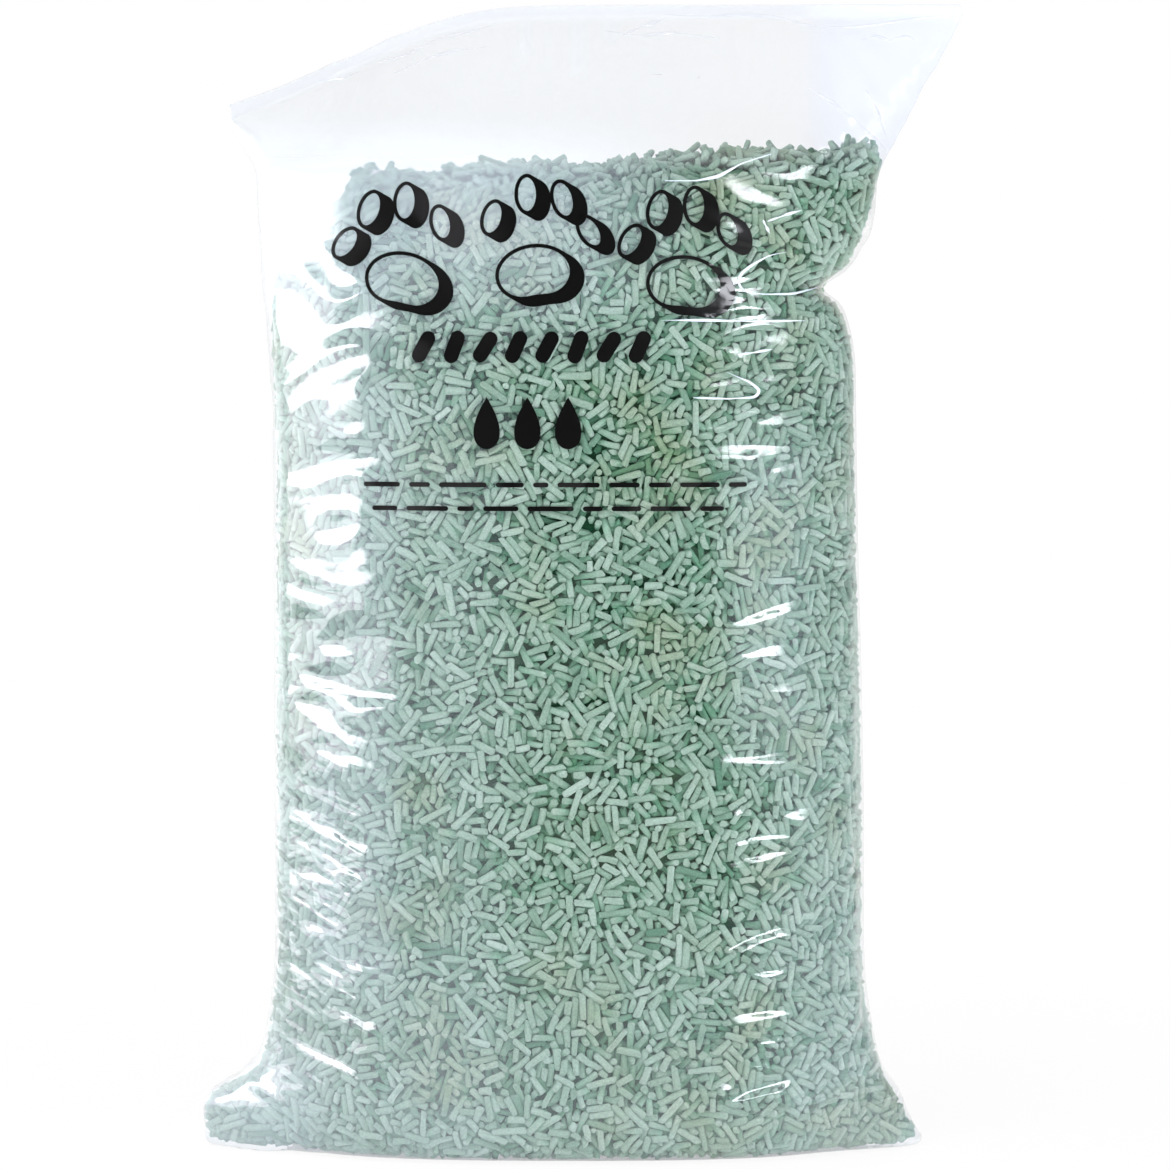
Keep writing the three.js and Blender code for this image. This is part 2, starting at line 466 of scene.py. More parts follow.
@dataclass(frozen=True)
class FilmFinish:
    """Clear glossy film: what it lets through, mirrors and scatters."""

    name: str = "clear_film"
    clear: Colour = (0.976, 0.976, 0.982, 1.0)
    gloss: Gloss = Gloss()
    haze: float = 0.003
    weld_haze: float = 0.06
    haze_colour: Colour = (0.77, 0.87, 1.0, 1.0)
    press_grain: float = 95.0
    press_detail: float = 1.0
    press_depth: float = 0.15 * MM
    crinkle_grain: Span = (50.0, 140.0)
    crinkle_detail: float = 0.5
    crinkle_slant: float = 0.42
    crinkle_depth: float = 2.2 * MM
    rubbed_clear: Colour = (0.94, 0.945, 0.97, 1.0)
    rubbed_loss: float = 0.8

    def material(self) -> bpy.types.Material:
        """Builds the film's material.

        Returns:
            A mix of see-through, mirror and haze, by the angle of view.
        """
        material, nodes = new_material(self.name)
        place = nodes.add("TexCoord").outputs["Object"]
        pressed = nodes.math(
            "MULTIPLY", nodes.grain(place, self.press_grain, self.press_detail), nodes.attribute("press")
        )
        height = nodes.math("MULTIPLY", pressed, self.press_depth)
        height = nodes.math("ADD", height, self._crinkles(nodes, place))
        bump = nodes.add("Bump", {"Strength": 1.0, "Distance": 1.0, "Height": height}).outputs["Normal"]
        rubbed = nodes.attribute("rubbed")
        seen = nodes.blended(rubbed, self.clear, self.rubbed_clear)
        clear = nodes.add("BsdfTransparent", {"Color": seen}).outputs[0]
        scatter = nodes.add("BsdfDiffuse", {"Color": self.haze_colour, "Normal": bump}).outputs[0]
        haze = nodes.math("MULTIPLY_ADD", nodes.attribute("weld"), self.weld_haze, self.haze)
        # The attribute slack holds the patches' haze, most of it a pale veil painted on as sheen from the
        # lamps.
        haze = nodes.math("ADD", nodes.attribute("slack"), haze)
        body = nodes.mixed(haze, clear, scatter)
        glossy = self.gloss.over(nodes, body, Normal=bump)
        loss = nodes.math("MULTIPLY", rubbed, self.rubbed_loss)
        nodes.add("OutputMaterial", {"Surface": nodes.mixed(loss, glossy, body)})
        return material

    def _crinkles(self, nodes: NodeTree, place: bpy.types.NodeSocket) -> bpy.types.NodeSocket:
        """Adds fine slanting crinkles where the attribute crinkle is set.

        Args:
            nodes: The material's node tree.
            place: The place on the film.

        Returns:
            Their height.
        """
        across, deep, up = nodes.parts(place)
        along_scale, level_scale = self.crinkle_grain
        along = nodes.math("MULTIPLY", across, along_scale)
        level = nodes.math("MULTIPLY_ADD", across, self.crinkle_slant, up)
        level = nodes.math("MULTIPLY", level, level_scale)
        deep = nodes.math("MULTIPLY", deep, along_scale)
        where = nodes.add("CombineXYZ", {0: along, 1: deep, 2: level}).outputs[0]
        wave = nodes.grain(where, 1.0, self.crinkle_detail)
        return nodes.math(
            "MULTIPLY", nodes.math("MULTIPLY", wave, nodes.attribute("crinkle")), self.crinkle_depth
        )


@dataclass(frozen=True)
class PelletFinish:
    """Pressed litter: dusty sage green, with darker and olive pellets among it."""

    # Painted shade: deep is the darkest colour, taken only by the core that stands for the shade behind the
    # pellets.
    deep: Colour = (0.018, 0.10, 0.05, 1.0)
    dark: Colour = (0.105, 0.242, 0.165, 1.0)
    middle: Colour = (0.30, 0.43, 0.358, 1.0)
    pale: Colour = (0.435, 0.552, 0.502, 1.0)
    olive: Colour = (0.30, 0.335, 0.16, 1.0)
    # Painted shade: the colour that the deeper parts of pellets are multiplied towards.
    sunk_painted_shade: Colour = (0.48, 0.80, 0.63, 1.0)
    dark_at: float = 0.12
    middle_at: float = 0.50
    stale_grain: float = 14.0
    stale_detail: float = 2.0
    stale_from: Span = (0.52, 0.76)
    stale_share: float = 0.45
    speck_grain: float = 700.0
    speck_detail: float = 3.0
    speck_from: Span = (0.3, 0.7)
    speck_shade: Span = (0.82, 1.12)
    speck_strength: float = 0.6
    speck_depth: float = 0.4 * MM
    roughness: float = 0.85

    def material(self) -> bpy.types.Material:
        """Builds the pellets' material.

        Returns:
            A matt green that differs from pellet to pellet, is mottled over each, and is painted darker and
            greener with depth under the film as painted shade.
        """
        material, nodes = new_material("pressed_litter")
        place = nodes.add("TexCoord").outputs["Object"]
        ramp = nodes.add("ValToRGB", {"Fac": nodes.attribute("tint")})
        stops = ramp.color_ramp.elements
        stops[0].position, stops[0].color = 0.0, self.deep
        stops[1].position, stops[1].color = 1.0, self.pale
        stops.new(self.dark_at).color = self.dark
        stops.new(self.middle_at).color = self.middle
        cloud = nodes.grain(place, self.stale_grain, self.stale_detail)
        stale = nodes.span(cloud, self.stale_from, (0.0, self.stale_share))
        aged = nodes.blended(stale, ramp.outputs["Color"], self.olive)
        speck = nodes.grain(place, self.speck_grain, self.speck_detail)
        mottled = nodes.times(aged, nodes.span(speck, self.speck_from, self.speck_shade))
        # Painted shade: darker and greener where the pellets lie deeper under the film.
        mottled = nodes.times(mottled, nodes.blended(nodes.attribute("depth"), WHITE, self.sunk_painted_shade))
        bump = nodes.add(
            "Bump", {"Strength": self.speck_strength, "Distance": self.speck_depth, "Height": speck}
        ).outputs["Normal"]
        surface = nodes.add(
            "BsdfDiffuse", {"Color": mottled, "Roughness": self.roughness, "Normal": bump}
        ).outputs[0]
        nodes.add("OutputMaterial", {"Surface": surface})
        return material


@dataclass(frozen=True)
class InkFinish:
    """Black ink that takes on the film's gloss."""

    colour: Colour = (0.002, 0.002, 0.002, 1.0)
    gloss: Gloss = Gloss(head_on=0.05)

    def material(self) -> bpy.types.Material:
        """Builds the ink's material.

        Returns:
            Matt black under gloss.
        """
        material, nodes = new_material("black_ink")
        matt = nodes.add("BsdfDiffuse", {"Color": self.colour}).outputs[0]
        nodes.add("OutputMaterial", {"Surface": self.gloss.over(nodes, matt)})
        return material


# The film


@dataclass(frozen=True)
class Patch:
    """A part of the film with soft edges, in millimetres.

    It starts and is full along x, and eases in at its bottom and out at its top.
    """

    start: float
    full: float
    low: Span
    high: Span

    def share(self, points: np.ndarray) -> np.ndarray:
        """Finds how far each point is within the patch, from 0 to 1."""
        x, _, z = (points / MM).T
        return ease(self.start, self.full, x) * ease(*self.low, z) * ease(*self.high, z)


@dataclass(frozen=True)
class HazeAndSheenPatch(Patch):
    """Where the film scatters more light or less than beside it: haze on the slack header film, and elsewhere
    a pale veil painted on that stands for the lamps' sheen, and negative amounts that take painted light
    away.
    """

    amount: float
    front_only: bool = True
    front_facing: Span = (0.1, -0.4)

    def haze(self, points: np.ndarray, normals: np.ndarray) -> np.ndarray:
        """Finds the share of haze at each point.

        Args:
            points: The film's points.
            normals: The film's normals.

        Returns:
            The haze.
        """
        front = ease(*self.front_facing, normals[:, Axis.Y]) if self.front_only else 1.0
        return self.amount * self.share(points) * front


@dataclass(frozen=True)
class GatherPatch(Patch):
    """Where the film gathers in ridges, and how: sizes in millimetres."""

    height: float
    grain: tuple[float, float, float]
    seed: float
    slant: float = 0.0
    side_share: float = 0.2
    side_facing: Span = (0.80, 0.97)
    least_share: float = 0.001
    sway: float = 8.0
    sway_grain: tuple[float, float, float] = (90.0, 90.0, 70.0)
    sway_seed: float = 31.7
    sharpness: float = 2.4
    ridge_share: float = 0.55
    wave_share: float = 0.45
    wave_lift: float = 0.6

    def heights(self, points: np.ndarray, normals: np.ndarray) -> np.ndarray:
        """Finds how far the film stands out in ridges.

        Args:
            points: The film's points.
            normals: The film's normals.

        Returns:
            The height at each point.
        """
        share = self.share(points)
        share *= 1 - (1 - self.side_share) * ease(*self.side_facing, np.abs(normals[:, Axis.X]))
        inside = np.flatnonzero(share > self.least_share)
        near = points[inside].copy()
        near[:, Axis.Z] += self.slant * near[:, Axis.X]
        near[:, Axis.Z] += self.sway * MM * field_noise(near, self.sway_grain, self.seed + self.sway_seed)
        wave = field_noise(near, self.grain, self.seed)
        ridge = np.clip(1.0 - self.sharpness * np.abs(wave), 0.0, 1.0)
        form = self.ridge_share * ridge + self.wave_share * (wave + self.wave_lift)
        height = np.zeros(len(points))
        height[inside] = share[inside] * self.height * form
        return np.maximum(height, 0.0) * MM


@dataclass
class FilmSack:
    """The film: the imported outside, made smooth and gathered where it is slack."""

    finish: FilmFinish
    node: str = "film_bag"
    free_way: float = 0.05
    hole_sides: int = 16
    quad_bend: float = math.radians(70)
    quad_skew: float = math.radians(120)
    levels: int = 3
    lift: float = 0.15 * MM
    weld_height: float = 10 * MM
    weld_edge: float = 1 * MM
    weld_columns: int = 90
    mouth: float = 716 * MM
    slack_above: Fade = Fade(Axis.Z, 675, 705)
    free_corner: tuple[Fade, ...] = (Fade(Axis.X, -150, -175), Fade(Axis.Z, 600, 625))
    crinkled: Patch = Patch(-135, -160, (60, 130), (330, 230))
    rubbed: Patch = Patch(150, 185, (700, 725), (845, 835))
    gathers: tuple[GatherPatch, ...] = (
        GatherPatch(-100, -140, (20, 70), (290, 230), 3.4, (45, 45, 14), 34.2, 0.32),
        GatherPatch(-100, -140, (230, 290), (450, 400), 5.0, (60, 60, 20), 4.2, 0.14),
        GatherPatch(-120, -160, (380, 470), (665, 630), 5.4, (60, 60, 33), 9.6, -0.3),
        GatherPatch(-205, -225, (-3, -2), (75, 50), 2.2, (30, 30, 12), 71.9, 0.5),
        GatherPatch(60, 95, (330, 400), (540, 480), 3.5, (52, 52, 14), 17.3, -0.15, 0.0),
        GatherPatch(55, 90, (470, 530), (650, 615), 3.2, (60, 60, 19), 61.3, -0.10, 0.0),
        GatherPatch(70, 105, (200, 250), (400, 330), 5.0, (52, 52, 15), 27.3, -0.15, 0.0),
        GatherPatch(75, 110, (10, 40), (260, 210), 6.0, (52, 52, 14), 27.3, -0.15, 0.0),
        GatherPatch(80, 110, (590, 640), (730, 705), 1.8, (60, 60, 20), 41.3, 0.25, 0.0),
        GatherPatch(-140, -110, (60, 120), (640, 600), 0.5, (55, 55, 22), 23.9),
        GatherPatch(150, 185, (705, 735), (838, 815), 1.5, (45, 45, 16), 37.4, 0.9, 1.0),
        GatherPatch(-400, -390, (700, 740), (840, 790), 2.5, (40, 60, 120), 57.7, 0.0, 1.0),
    )
    # The first three lay haze on the header. The rest paint light: pale veils over the left strip, the upper
    # left of the heap, its right side, the lower part and the left ear, standing for the lamps' sheen, and
    # negative amounts that take painted veil away at the left edge and at the far right.
    hazes_and_painted_sheen: tuple[HazeAndSheenPatch, ...] = (
        HazeAndSheenPatch(130, 60, (700, 760), (900, 890), 0.06, False),
        HazeAndSheenPatch(60, 130, (700, 760), (900, 890), 0.045, False),
        HazeAndSheenPatch(165, 205, (705, 745), (900, 890), 0.10, False),
        HazeAndSheenPatch(110, -60, (560, 690), (760, 715), 0.27),
        HazeAndSheenPatch(-112, -150, (95, 150), (680, 620), 0.105),
        HazeAndSheenPatch(-10, -100, (-2, -1), (620, 540), 0.075),
        HazeAndSheenPatch(-175, -200, (110, 160), (640, 580), -0.10),
        HazeAndSheenPatch(-163, -178, (120, 170), (310, 250), 0.06),
        HazeAndSheenPatch(95, 128, (260, 340), (560, 490), 0.075),
        HazeAndSheenPatch(150, 178, (260, 340), (560, 490), -0.055),
        HazeAndSheenPatch(90, 160, (110, 160), (640, 600), 0.025),
        HazeAndSheenPatch(110, 190, (-2, -1), (400, 240), 0.06),
        HazeAndSheenPatch(-400, -390, (-2, -1), (240, 30), 0.07),
        HazeAndSheenPatch(-165, -205, (-2, -1), (120, 60), 0.10),
    )

    def outer_skin(self) -> bpy.types.Object:
        """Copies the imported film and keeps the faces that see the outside.

        Returns:
            A closed skin of quads.
        """
        piece = copy_of_node(self.node, "film")
        mesh = bmesh.new()
        mesh.from_mesh(piece.data)
        mesh.normal_update()
        tree = BVHTree.FromBMesh(mesh)
        hidden = [face for face in mesh.faces if not self._sees_outside(face, tree)]
        bmesh.ops.delete(mesh, geom=hidden, context="FACES")
        mesh.to_mesh(piece.data)
        mesh.free()
        with edit_mode(piece):
            bpy.ops.mesh.select_all(action="SELECT")
            bpy.ops.mesh.fill_holes(sides=self.hole_sides)
            bpy.ops.mesh.select_all(action="SELECT")
            bpy.ops.mesh.tris_convert_to_quads(face_threshold=self.quad_bend, shape_threshold=self.quad_skew)
        return piece

    def _sees_outside(self, face: bmesh.types.BMFace, tree: BVHTree) -> bool:
        """Tells whether any straight way out of a face is free.

        Args:
            face: The face.
            tree: A search tree of all faces.

        Returns:
            True where a ray along an axis or the face's normal hits nothing.
        """
        start = face.calc_center_median() + face.normal * HAIR
        ways = (*map(Vector, SIX_WAYS), face.normal)
        free = [way for way in ways if way.dot(face.normal) > self.free_way]
        return any(tree.ray_cast(start, way)[0] is None for way in free)

    def build(self) -> list[bpy.types.Object]:
        """Builds and dresses the film.

        Returns:
            The film up to the mouth, and the slack film above it.
        """
        piece = self.outer_skin()
        apply_modifier(piece, "SUBSURF", levels=self.levels, render_levels=self.levels)
        points, normals = points_of(piece), normals_of(piece)
        height = np.full(len(points), self.lift)
        for gather in self.gathers:
            height = height + gather.heights(points, normals)
        drawn = LEFT_LEAN.lean(pushed(points + normals * height[:, None], PINCH))
        moved = pushed(drawn, TUCK)
        moved[:, Axis.Z] = np.maximum(moved[:, Axis.Z], 0.0)
        set_points(piece, moved)
        self.mark(piece, points, normals)
        activate(piece)
        bpy.ops.object.shade_smooth()
        piece.data.materials.append(self.finish.material())
        piece.data.normals_split_custom_set_from_vertices(normals_of(piece).tolist())
        return [piece, self.part_at_mouth(piece)]

    def mark(self, piece: bpy.types.Object, points: np.ndarray, normals: np.ndarray) -> None:
        """Writes what the film's material reads at each point.

        Args:
            piece: The whole film.
            points: Its points before it was gathered.
            normals: Its normals before it was gathered.
        """
        places = points / MM
        corner = shares(self.free_corner, places)
        set_values(piece, "weld", self.weld_share(points))
        set_values(piece, "press", (1 - self.slack_above.share(places)) * (1 - corner))
        set_values(piece, "crinkle", self.crinkled.share(points))
        set_values(piece, "rubbed", self.rubbed.share(points))
        # Painted sheen: the slack attribute sums the haze patches, most of them veils that stand for the
        # lamps' sheen.
        set_values(piece, "slack", sum(haze.haze(points, normals) for haze in self.hazes_and_painted_sheen))

    def weld_share(self, points: np.ndarray) -> np.ndarray:
        """Finds how far each point is into the band of the top weld.

        Args:
            points: The film's points.

        Returns:
            1 inside the band and 0 below it.
        """
        across = points[:, Axis.X]
        columns = np.linspace(across.min(), across.max(), self.weld_columns)
        column = np.clip(np.searchsorted(columns, across), 0, len(columns) - 1)
        top = np.zeros(len(columns))
        np.maximum.at(top, column, points[:, Axis.Z])
        below = np.interp(across, columns, top) - points[:, Axis.Z]
        return 1.0 - ease(self.weld_height - self.weld_edge, self.weld_height + self.weld_edge, below)

    def part_at_mouth(self, piece: bpy.types.Object) -> bpy.types.Object:
        """Parts the slack film above the mouth from the rest.

        Args:
            piece: The whole film, which keeps what is below.

        Returns:
            The slack film.
        """
        with edit_mode(piece):
            bpy.ops.mesh.select_mode(type="FACE")
            bpy.ops.mesh.select_all(action="DESELECT")
            mesh = bmesh.from_edit_mesh(piece.data)
            for face in mesh.faces:
                face.select_set(face.calc_center_median().z > self.mouth)
            bmesh.update_edit_mesh(piece.data)
            bpy.ops.mesh.separate(type="SELECTED")
        slack = next(other for other in bpy.context.selected_objects if other is not piece)
        slack.name = "film_header"
        return slack


# Sharp folds on the front, as points x, z in millimetres; their near-white haze is a painted highlight along
# each crease
FRONT_FOLDS: tuple[Line, ...] = (
    (
        (173, 630), (155, 626), (133, 626), (120, 628), (115, 633), (116, 640), (125, 647), (138, 654),
        (150, 656),
    ),
    ((61, 608), (90, 608), (125, 607), (163, 607)),
    ((63, 707), (85, 707), (101, 710), (117, 719), (139, 726)),
    ((133, 679), (138, 669)),
    ((136, 678), (150, 683), (161, 686)),
    ((114, 583), (128, 585), (140, 587)),
    ((107, 571), (123, 564), (131, 558), (128, 553), (109, 552), (83, 553)),
)

# Soft pleats in the slack film under the top weld; their grey-blue haze paints the shadows along the film
# there
HEADER_PLEATS: tuple[Line, ...] = (
    ((166, 774), (182, 764), (198, 751), (212, 739), (224, 728)),
    ((208, 772), (216, 756), (223, 738)),
    ((206, 808), (216, 811), (226, 808), (238, 811), (246, 808)),
    ((-142, 792), (-120, 799), (-102, 809), (-84, 813), (-60, 819)),
    ((-132, 784), (-110, 794), (-90, 800), (-66, 803)),
    ((-188, 779), (-170, 781), (-156, 786)),
    ((20, 815), (45, 811), (70, 814), (104, 809)),
    (
        (64, 827), (92, 825), (120, 827), (149, 824), (169, 818), (192, 817), (213, 819), (246, 824),
        (266, 826),
    ),
    ((34, 812), (50, 819), (64, 824)),
)


@dataclass
class FilmFolds:
    """Folds that stand up from the film's front as thin lines, which their finish paints pale as highlights
    or grey-blue as shadows.
    """

    name: str
    lines: tuple[Line, ...]
    finish: FilmFinish
    width: float
    height: float
    steps: int = 48
    profile: int = 7
    path_points: int = 200
    path_rounds: int = 60
    ray_start: float = -1.0
    blunt_ends: Span = (0.02, 0.98)
    waver: Span = (0.75, 0.35)
    waver_turn: float = 11.0
    waver_phase: float = 90.0

    def build(self, film: BVHTree) -> bpy.types.Object:
        """Builds and dresses the folds.

        Args:
            film: A search tree of the film.

        Returns:
            All folds as one piece.
        """
        folds = []
        for line in self.lines:
            deselect_all()
            bpy.ops.mesh.primitive_grid_add(
                x_subdivisions=self.steps - 1, y_subdivisions=self.profile - 1, size=1
            )
            fold = bpy.context.object
            set_points(fold, self._swept(points_of(fold) + 0.5, line, film))
            folds.append(fold)
        piece = join(folds, self.name)
        with edit_mode(piece):
            bpy.ops.mesh.select_all(action="SELECT")
            bpy.ops.mesh.normals_make_consistent(inside=False)
        bpy.ops.object.shade_smooth()
        piece.data.materials.append(self.finish.material())
        return piece

    def _swept(self, grid: np.ndarray, line: Line, film: BVHTree) -> np.ndarray:
        """Lays a flat grid along a line on the film, as a rounded ridge.

        Args:
            grid: The grid's points, from 0 to 1 along the line and across it.
            line: The line.
            film: A search tree of the film.

        Returns:
            The grid's new points.
        """
        corner = np.array(line, float) * MM
        length = np.concatenate([[0.0], np.cumsum(np.linalg.norm(np.diff(corner, axis=0), axis=1))])
        fine = np.linspace(0, length[-1], self.path_points)
        path = np.stack([np.interp(fine, length, corner[:, axis]) for axis in (0, 1)], 1)
        for _ in range(self.path_rounds):
            path[1:-1] = (path[:-2] + 2 * path[1:-1] + path[2:]) / 4
        hits = [film.ray_cast((x, self.ray_start, z), (0, 1, 0)) for x, z in path.tolist()]
        spots = np.array([hit[0] for hit in hits])
        normal = unit(np.array([hit[1] for hit in hits]))
        side = unit(np.cross(unit(np.gradient(spots, axis=0)), normal))
        last = self.path_points - 1
        at = np.clip(np.rint(grid[:, 0] * last).astype(int), 0, last)
        angle = np.pi * grid[:, 1]
        taper = np.sqrt(np.clip(np.sin(np.pi * np.clip(grid[:, 0], *self.blunt_ends)), 0, 1))
        phase = self.waver_phase * corner[0, 0] / MM
        taper *= self.waver[0] + self.waver[1] * np.sin(self.waver_turn * grid[:, 0] + phase)
        across = side[at] * (self.width / 2 * np.cos(angle) * taper)[:, None]
        rise = normal[at] * (self.height * np.sin(angle) * taper)[:, None]
        return spots[at] + across + rise


# The print


@dataclass(frozen=True)
class Pad:
    """One pad of a paw: its middle from the paw's, its size in millimetres and its turn in degrees."""

    across: float
    up: float
    wide: float
    tall: float
    turn: float = 0.0
    dent: float = 0.0


@dataclass
class FrontPrint:
    """Plain black shapes printed on the film's front, from big to small, in millimetres and degrees."""

    finish: InkFinish
    stroke: float = 2.6
    shadow: Span = (8.0, -4.5)
    paws: tuple[tuple[float, float, float], ...] = ((-128, 657, -12), (-27, 663, 8), (75, 655, -6))
    pads: tuple[Pad, ...] = (
        Pad(0, -22, 56, 42, 0, 0.16),
        Pad(-35, 13, 17, 27, -24),
        Pad(-13, 33, 18, 29, -7),
        Pad(13, 33, 18, 29, 7),
        Pad(35, 13, 17, 27, 24),
    )
    pad_points: int = 40
    dent_spread: float = 0.45
    rods: int = 8
    first_rod: Span = (-109.0, 589.0)
    rod_pitch: float = 22.0
    rod_size: Span = (24.0, 10.5)
    rod_leans: tuple[float, ...] = (62, 70, 58, 66)
    rod_end_points: int = 9
    drops: tuple[Span, ...] = ((-64, 535), (-35, 535), (-6, 535))
    drop_size: Span = (12.5, 18.5)
    drop_points: int = 36
    drop_power: float = 1.1
    dash_rows: tuple[tuple[float, float, tuple[float, ...]], ...] = (
        (-152.0, 491.0, (26, 15, 34, 20, 11, 30, 22, 16, 28, 13)),
        (-146.0, 474.0, (18, 30, 12, 25, 33, 14, 21, 29, 17)),
    )
    dash_thick: float = 3.4
    dash_gap: float = 6.5
    cut_pitch: int = 6
    cut_across: tuple[int, int] = (-200, 160)
    cut_up: tuple[int, int] = (460, 720)
    drawn_at: float = -0.3
    outside: float = 0.3 * MM

    def build(self, film: bpy.types.Object) -> bpy.types.Object:
        """Builds and dresses the print.

        Args:
            film: The film that it lies on.

        Returns:
            The print as one piece.
        """
        piece = join(self.shapes(), "front_print")
        bpy.ops.object.transform_apply()
        self._cut_fine(piece)
        apply_modifier(
            piece, "SHRINKWRAP", target=film, wrap_method="PROJECT", use_project_y=True,
            use_positive_direction=True, use_negative_direction=False,
        )
        set_points(piece, points_of(piece) - np.array((0.0, self.outside, 0.0)))
        activate(piece)
        bpy.ops.object.shade_smooth()
        piece.data.materials.append(self.finish.material())
        return piece

    def shapes(self) -> list[bpy.types.Object]:
        """Draws all shapes flat in front of the film.

        Returns:
            The shapes.
        """
        shapes = []
        for x, z, lean in self.paws:
            shapes += self.paw(x, z, lean)
        for number in range(self.rods):
            lean = self.rod_leans[number % len(self.rod_leans)]
            x, z = self.first_rod[0] + self.rod_pitch * number, self.first_rod[1]
            shapes.append(self.rod(x, z, *self.rod_size, lean))
        for x, z in self.drops:
            shapes.append(self.drop(x, z))
        for edge, z, lengths in self.dash_rows:
            for length in lengths:
                shapes.append(self.rod(edge + length / 2, z, length, self.dash_thick, 0))
                edge += length + self.dash_gap
        return shapes

    def _cut_fine(self, piece: bpy.types.Object) -> None:
        """Cuts the shapes along a grid, so that they can follow the film.

        Args:
            piece: The flat shapes.
        """
        with edit_mode(piece):
            for way, (low, high) in (((1, 0, 0), self.cut_across), ((0, 0, 1), self.cut_up)):
                for place in range(low, high, self.cut_pitch):
                    bpy.ops.mesh.select_all(action="SELECT")
                    bpy.ops.mesh.bisect(plane_co=np.array(way) * place * MM, plane_no=way)
            bpy.ops.mesh.select_all(action="SELECT")
            bpy.ops.mesh.quads_convert_to_tris()

    def _flat(self, outline: np.ndarray) -> bpy.types.Object:
        """Fills an outline in front of the film.

        Args:
            outline: Rows of x, z in millimetres.

        Returns:
            The filled shape.
        """
        deselect_all()
        bpy.ops.mesh.primitive_circle_add(vertices=len(outline), radius=1.0, fill_type="NGON")
        piece = bpy.context.object
        rows = np.zeros((len(outline), 3))
        rows[:, [Axis.X, Axis.Z]] = outline * MM
        rows[:, Axis.Y] = self.drawn_at
        set_points(piece, rows)
        return piece

    @staticmethod
    def _turned(flat: np.ndarray, lean: float) -> np.ndarray:
        """Turns rows of x, z by an angle in degrees."""
        angle = math.radians(lean)
        return flat @ np.array(((math.cos(angle), math.sin(angle)), (-math.sin(angle), math.cos(angle))))

    def pad(self, x: float, z: float, lean: float, form: Pad) -> bpy.types.Object:
        """Draws one pad of a paw: an outline, and a heavy shadow to its lower right.

        Args:
            x: The pad's middle.
            z: The pad's middle.
            lean: Its turn in degrees.
            form: Its size and dent.

        Returns:
            The pad.
        """
        turn = np.linspace(0, 2 * np.pi, self.pad_points, endpoint=False)
        draw = 1 - form.dent * np.exp(-(((turn - 1.5 * np.pi) / self.dent_spread) ** 2))
        flat = np.stack([np.cos(turn) * form.wide / 2 * draw, np.sin(turn) * form.tall / 2 * draw], 1)
        piece = self._flat(self._turned(flat, lean) + (x, z))
        middle = Vector((x * MM, 0.0, z * MM))
        fall = Vector((self.shadow[0], 0.0, self.shadow[1])) * MM
        with edit_mode(piece):
            bpy.ops.mesh.select_mode(type="FACE")
            bpy.ops.mesh.select_all(action="SELECT")
            bpy.ops.mesh.inset(thickness=self.stroke * MM)
            bpy.ops.mesh.delete(type="ONLY_FACE")
            bpy.ops.mesh.select_mode(type="EDGE")
            bpy.ops.mesh.select_all(action="DESELECT")
            mesh = bmesh.from_edit_mesh(piece.data)
            for edge in mesh.edges:
                if len(edge.link_faces) == 1:
                    edge.select_set(self._casts_shadow(edge, middle, fall))
            bmesh.update_edit_mesh(piece.data)
            bpy.ops.mesh.extrude_edges_move(TRANSFORM_OT_translate={"value": fall})
        return piece

    @staticmethod
    def _casts_shadow(edge: bmesh.types.BMEdge, middle: Vector, fall: Vector) -> bool:
        """Tells whether an edge is on the outline's outside, where the shadow falls.

        Args:
            edge: An edge with one face.
            middle: The pad's middle.
            fall: The way that the shadow falls.

        Returns:
            True where the shadow starts.
        """
        centre = (edge.verts[0].co + edge.verts[1].co) / 2
        along = edge.verts[1].co - edge.verts[0].co
        outward = Vector((along.z, 0.0, -along.x))
        if outward.dot(centre - middle) < 0:
            outward.negate()
        face_way = edge.link_faces[0].calc_center_median() - centre
        return outward.dot(fall) > 0 and outward.dot(face_way) < 0

    def paw(self, x: float, z: float, lean: float) -> list[bpy.types.Object]:
        """Draws a paw: a broad pad and four toes.

        Args:
            x: The paw's middle.
            z: The paw's middle.
            lean: Its turn in degrees.

        Returns:
            Its pads.
        """
        angle = math.radians(lean)
        shapes = []
        for form in self.pads:
            right = form.across * math.cos(angle) + form.up * math.sin(angle)
            rise = form.up * math.cos(angle) - form.across * math.sin(angle)
            shapes.append(self.pad(x + right, z + rise, lean + form.turn, form))
        return shapes

    def rod(self, x: float, z: float, length: float, thick: float, lean: float) -> bpy.types.Object:
        """Draws a solid rod with round ends.

        Args:
            x: The rod's middle.
            z: The rod's middle.
            length: Its length.
            thick: Its thickness.
            lean: Its turn in degrees.

        Returns:
            The rod.
        """
        turn = np.linspace(-np.pi / 2, np.pi / 2, self.rod_end_points)
        end = np.stack([np.cos(turn), np.sin(turn)], 1) * thick / 2
        half = np.array(((length - thick) / 2, 0.0))
        outline = np.concatenate([end + half, -end - half])
        return self._flat(self._turned(outline, lean) + (x, z))

    def drop(self, x: float, z: float) -> bpy.types.Object:
        """Draws a solid drop.

        Args:
            x: The drop's middle.
            z: The drop's middle.

        Returns:
            The drop.
        """
        turn = np.linspace(0, 2 * np.pi, self.drop_points, endpoint=False)
        narrow = np.sin(turn / 2) ** self.drop_power
        wide, tall = self.drop_size
        return self._flat(np.stack([np.sin(turn) * narrow * wide, np.cos(turn) * tall], 1) + (x, z))


# The litter


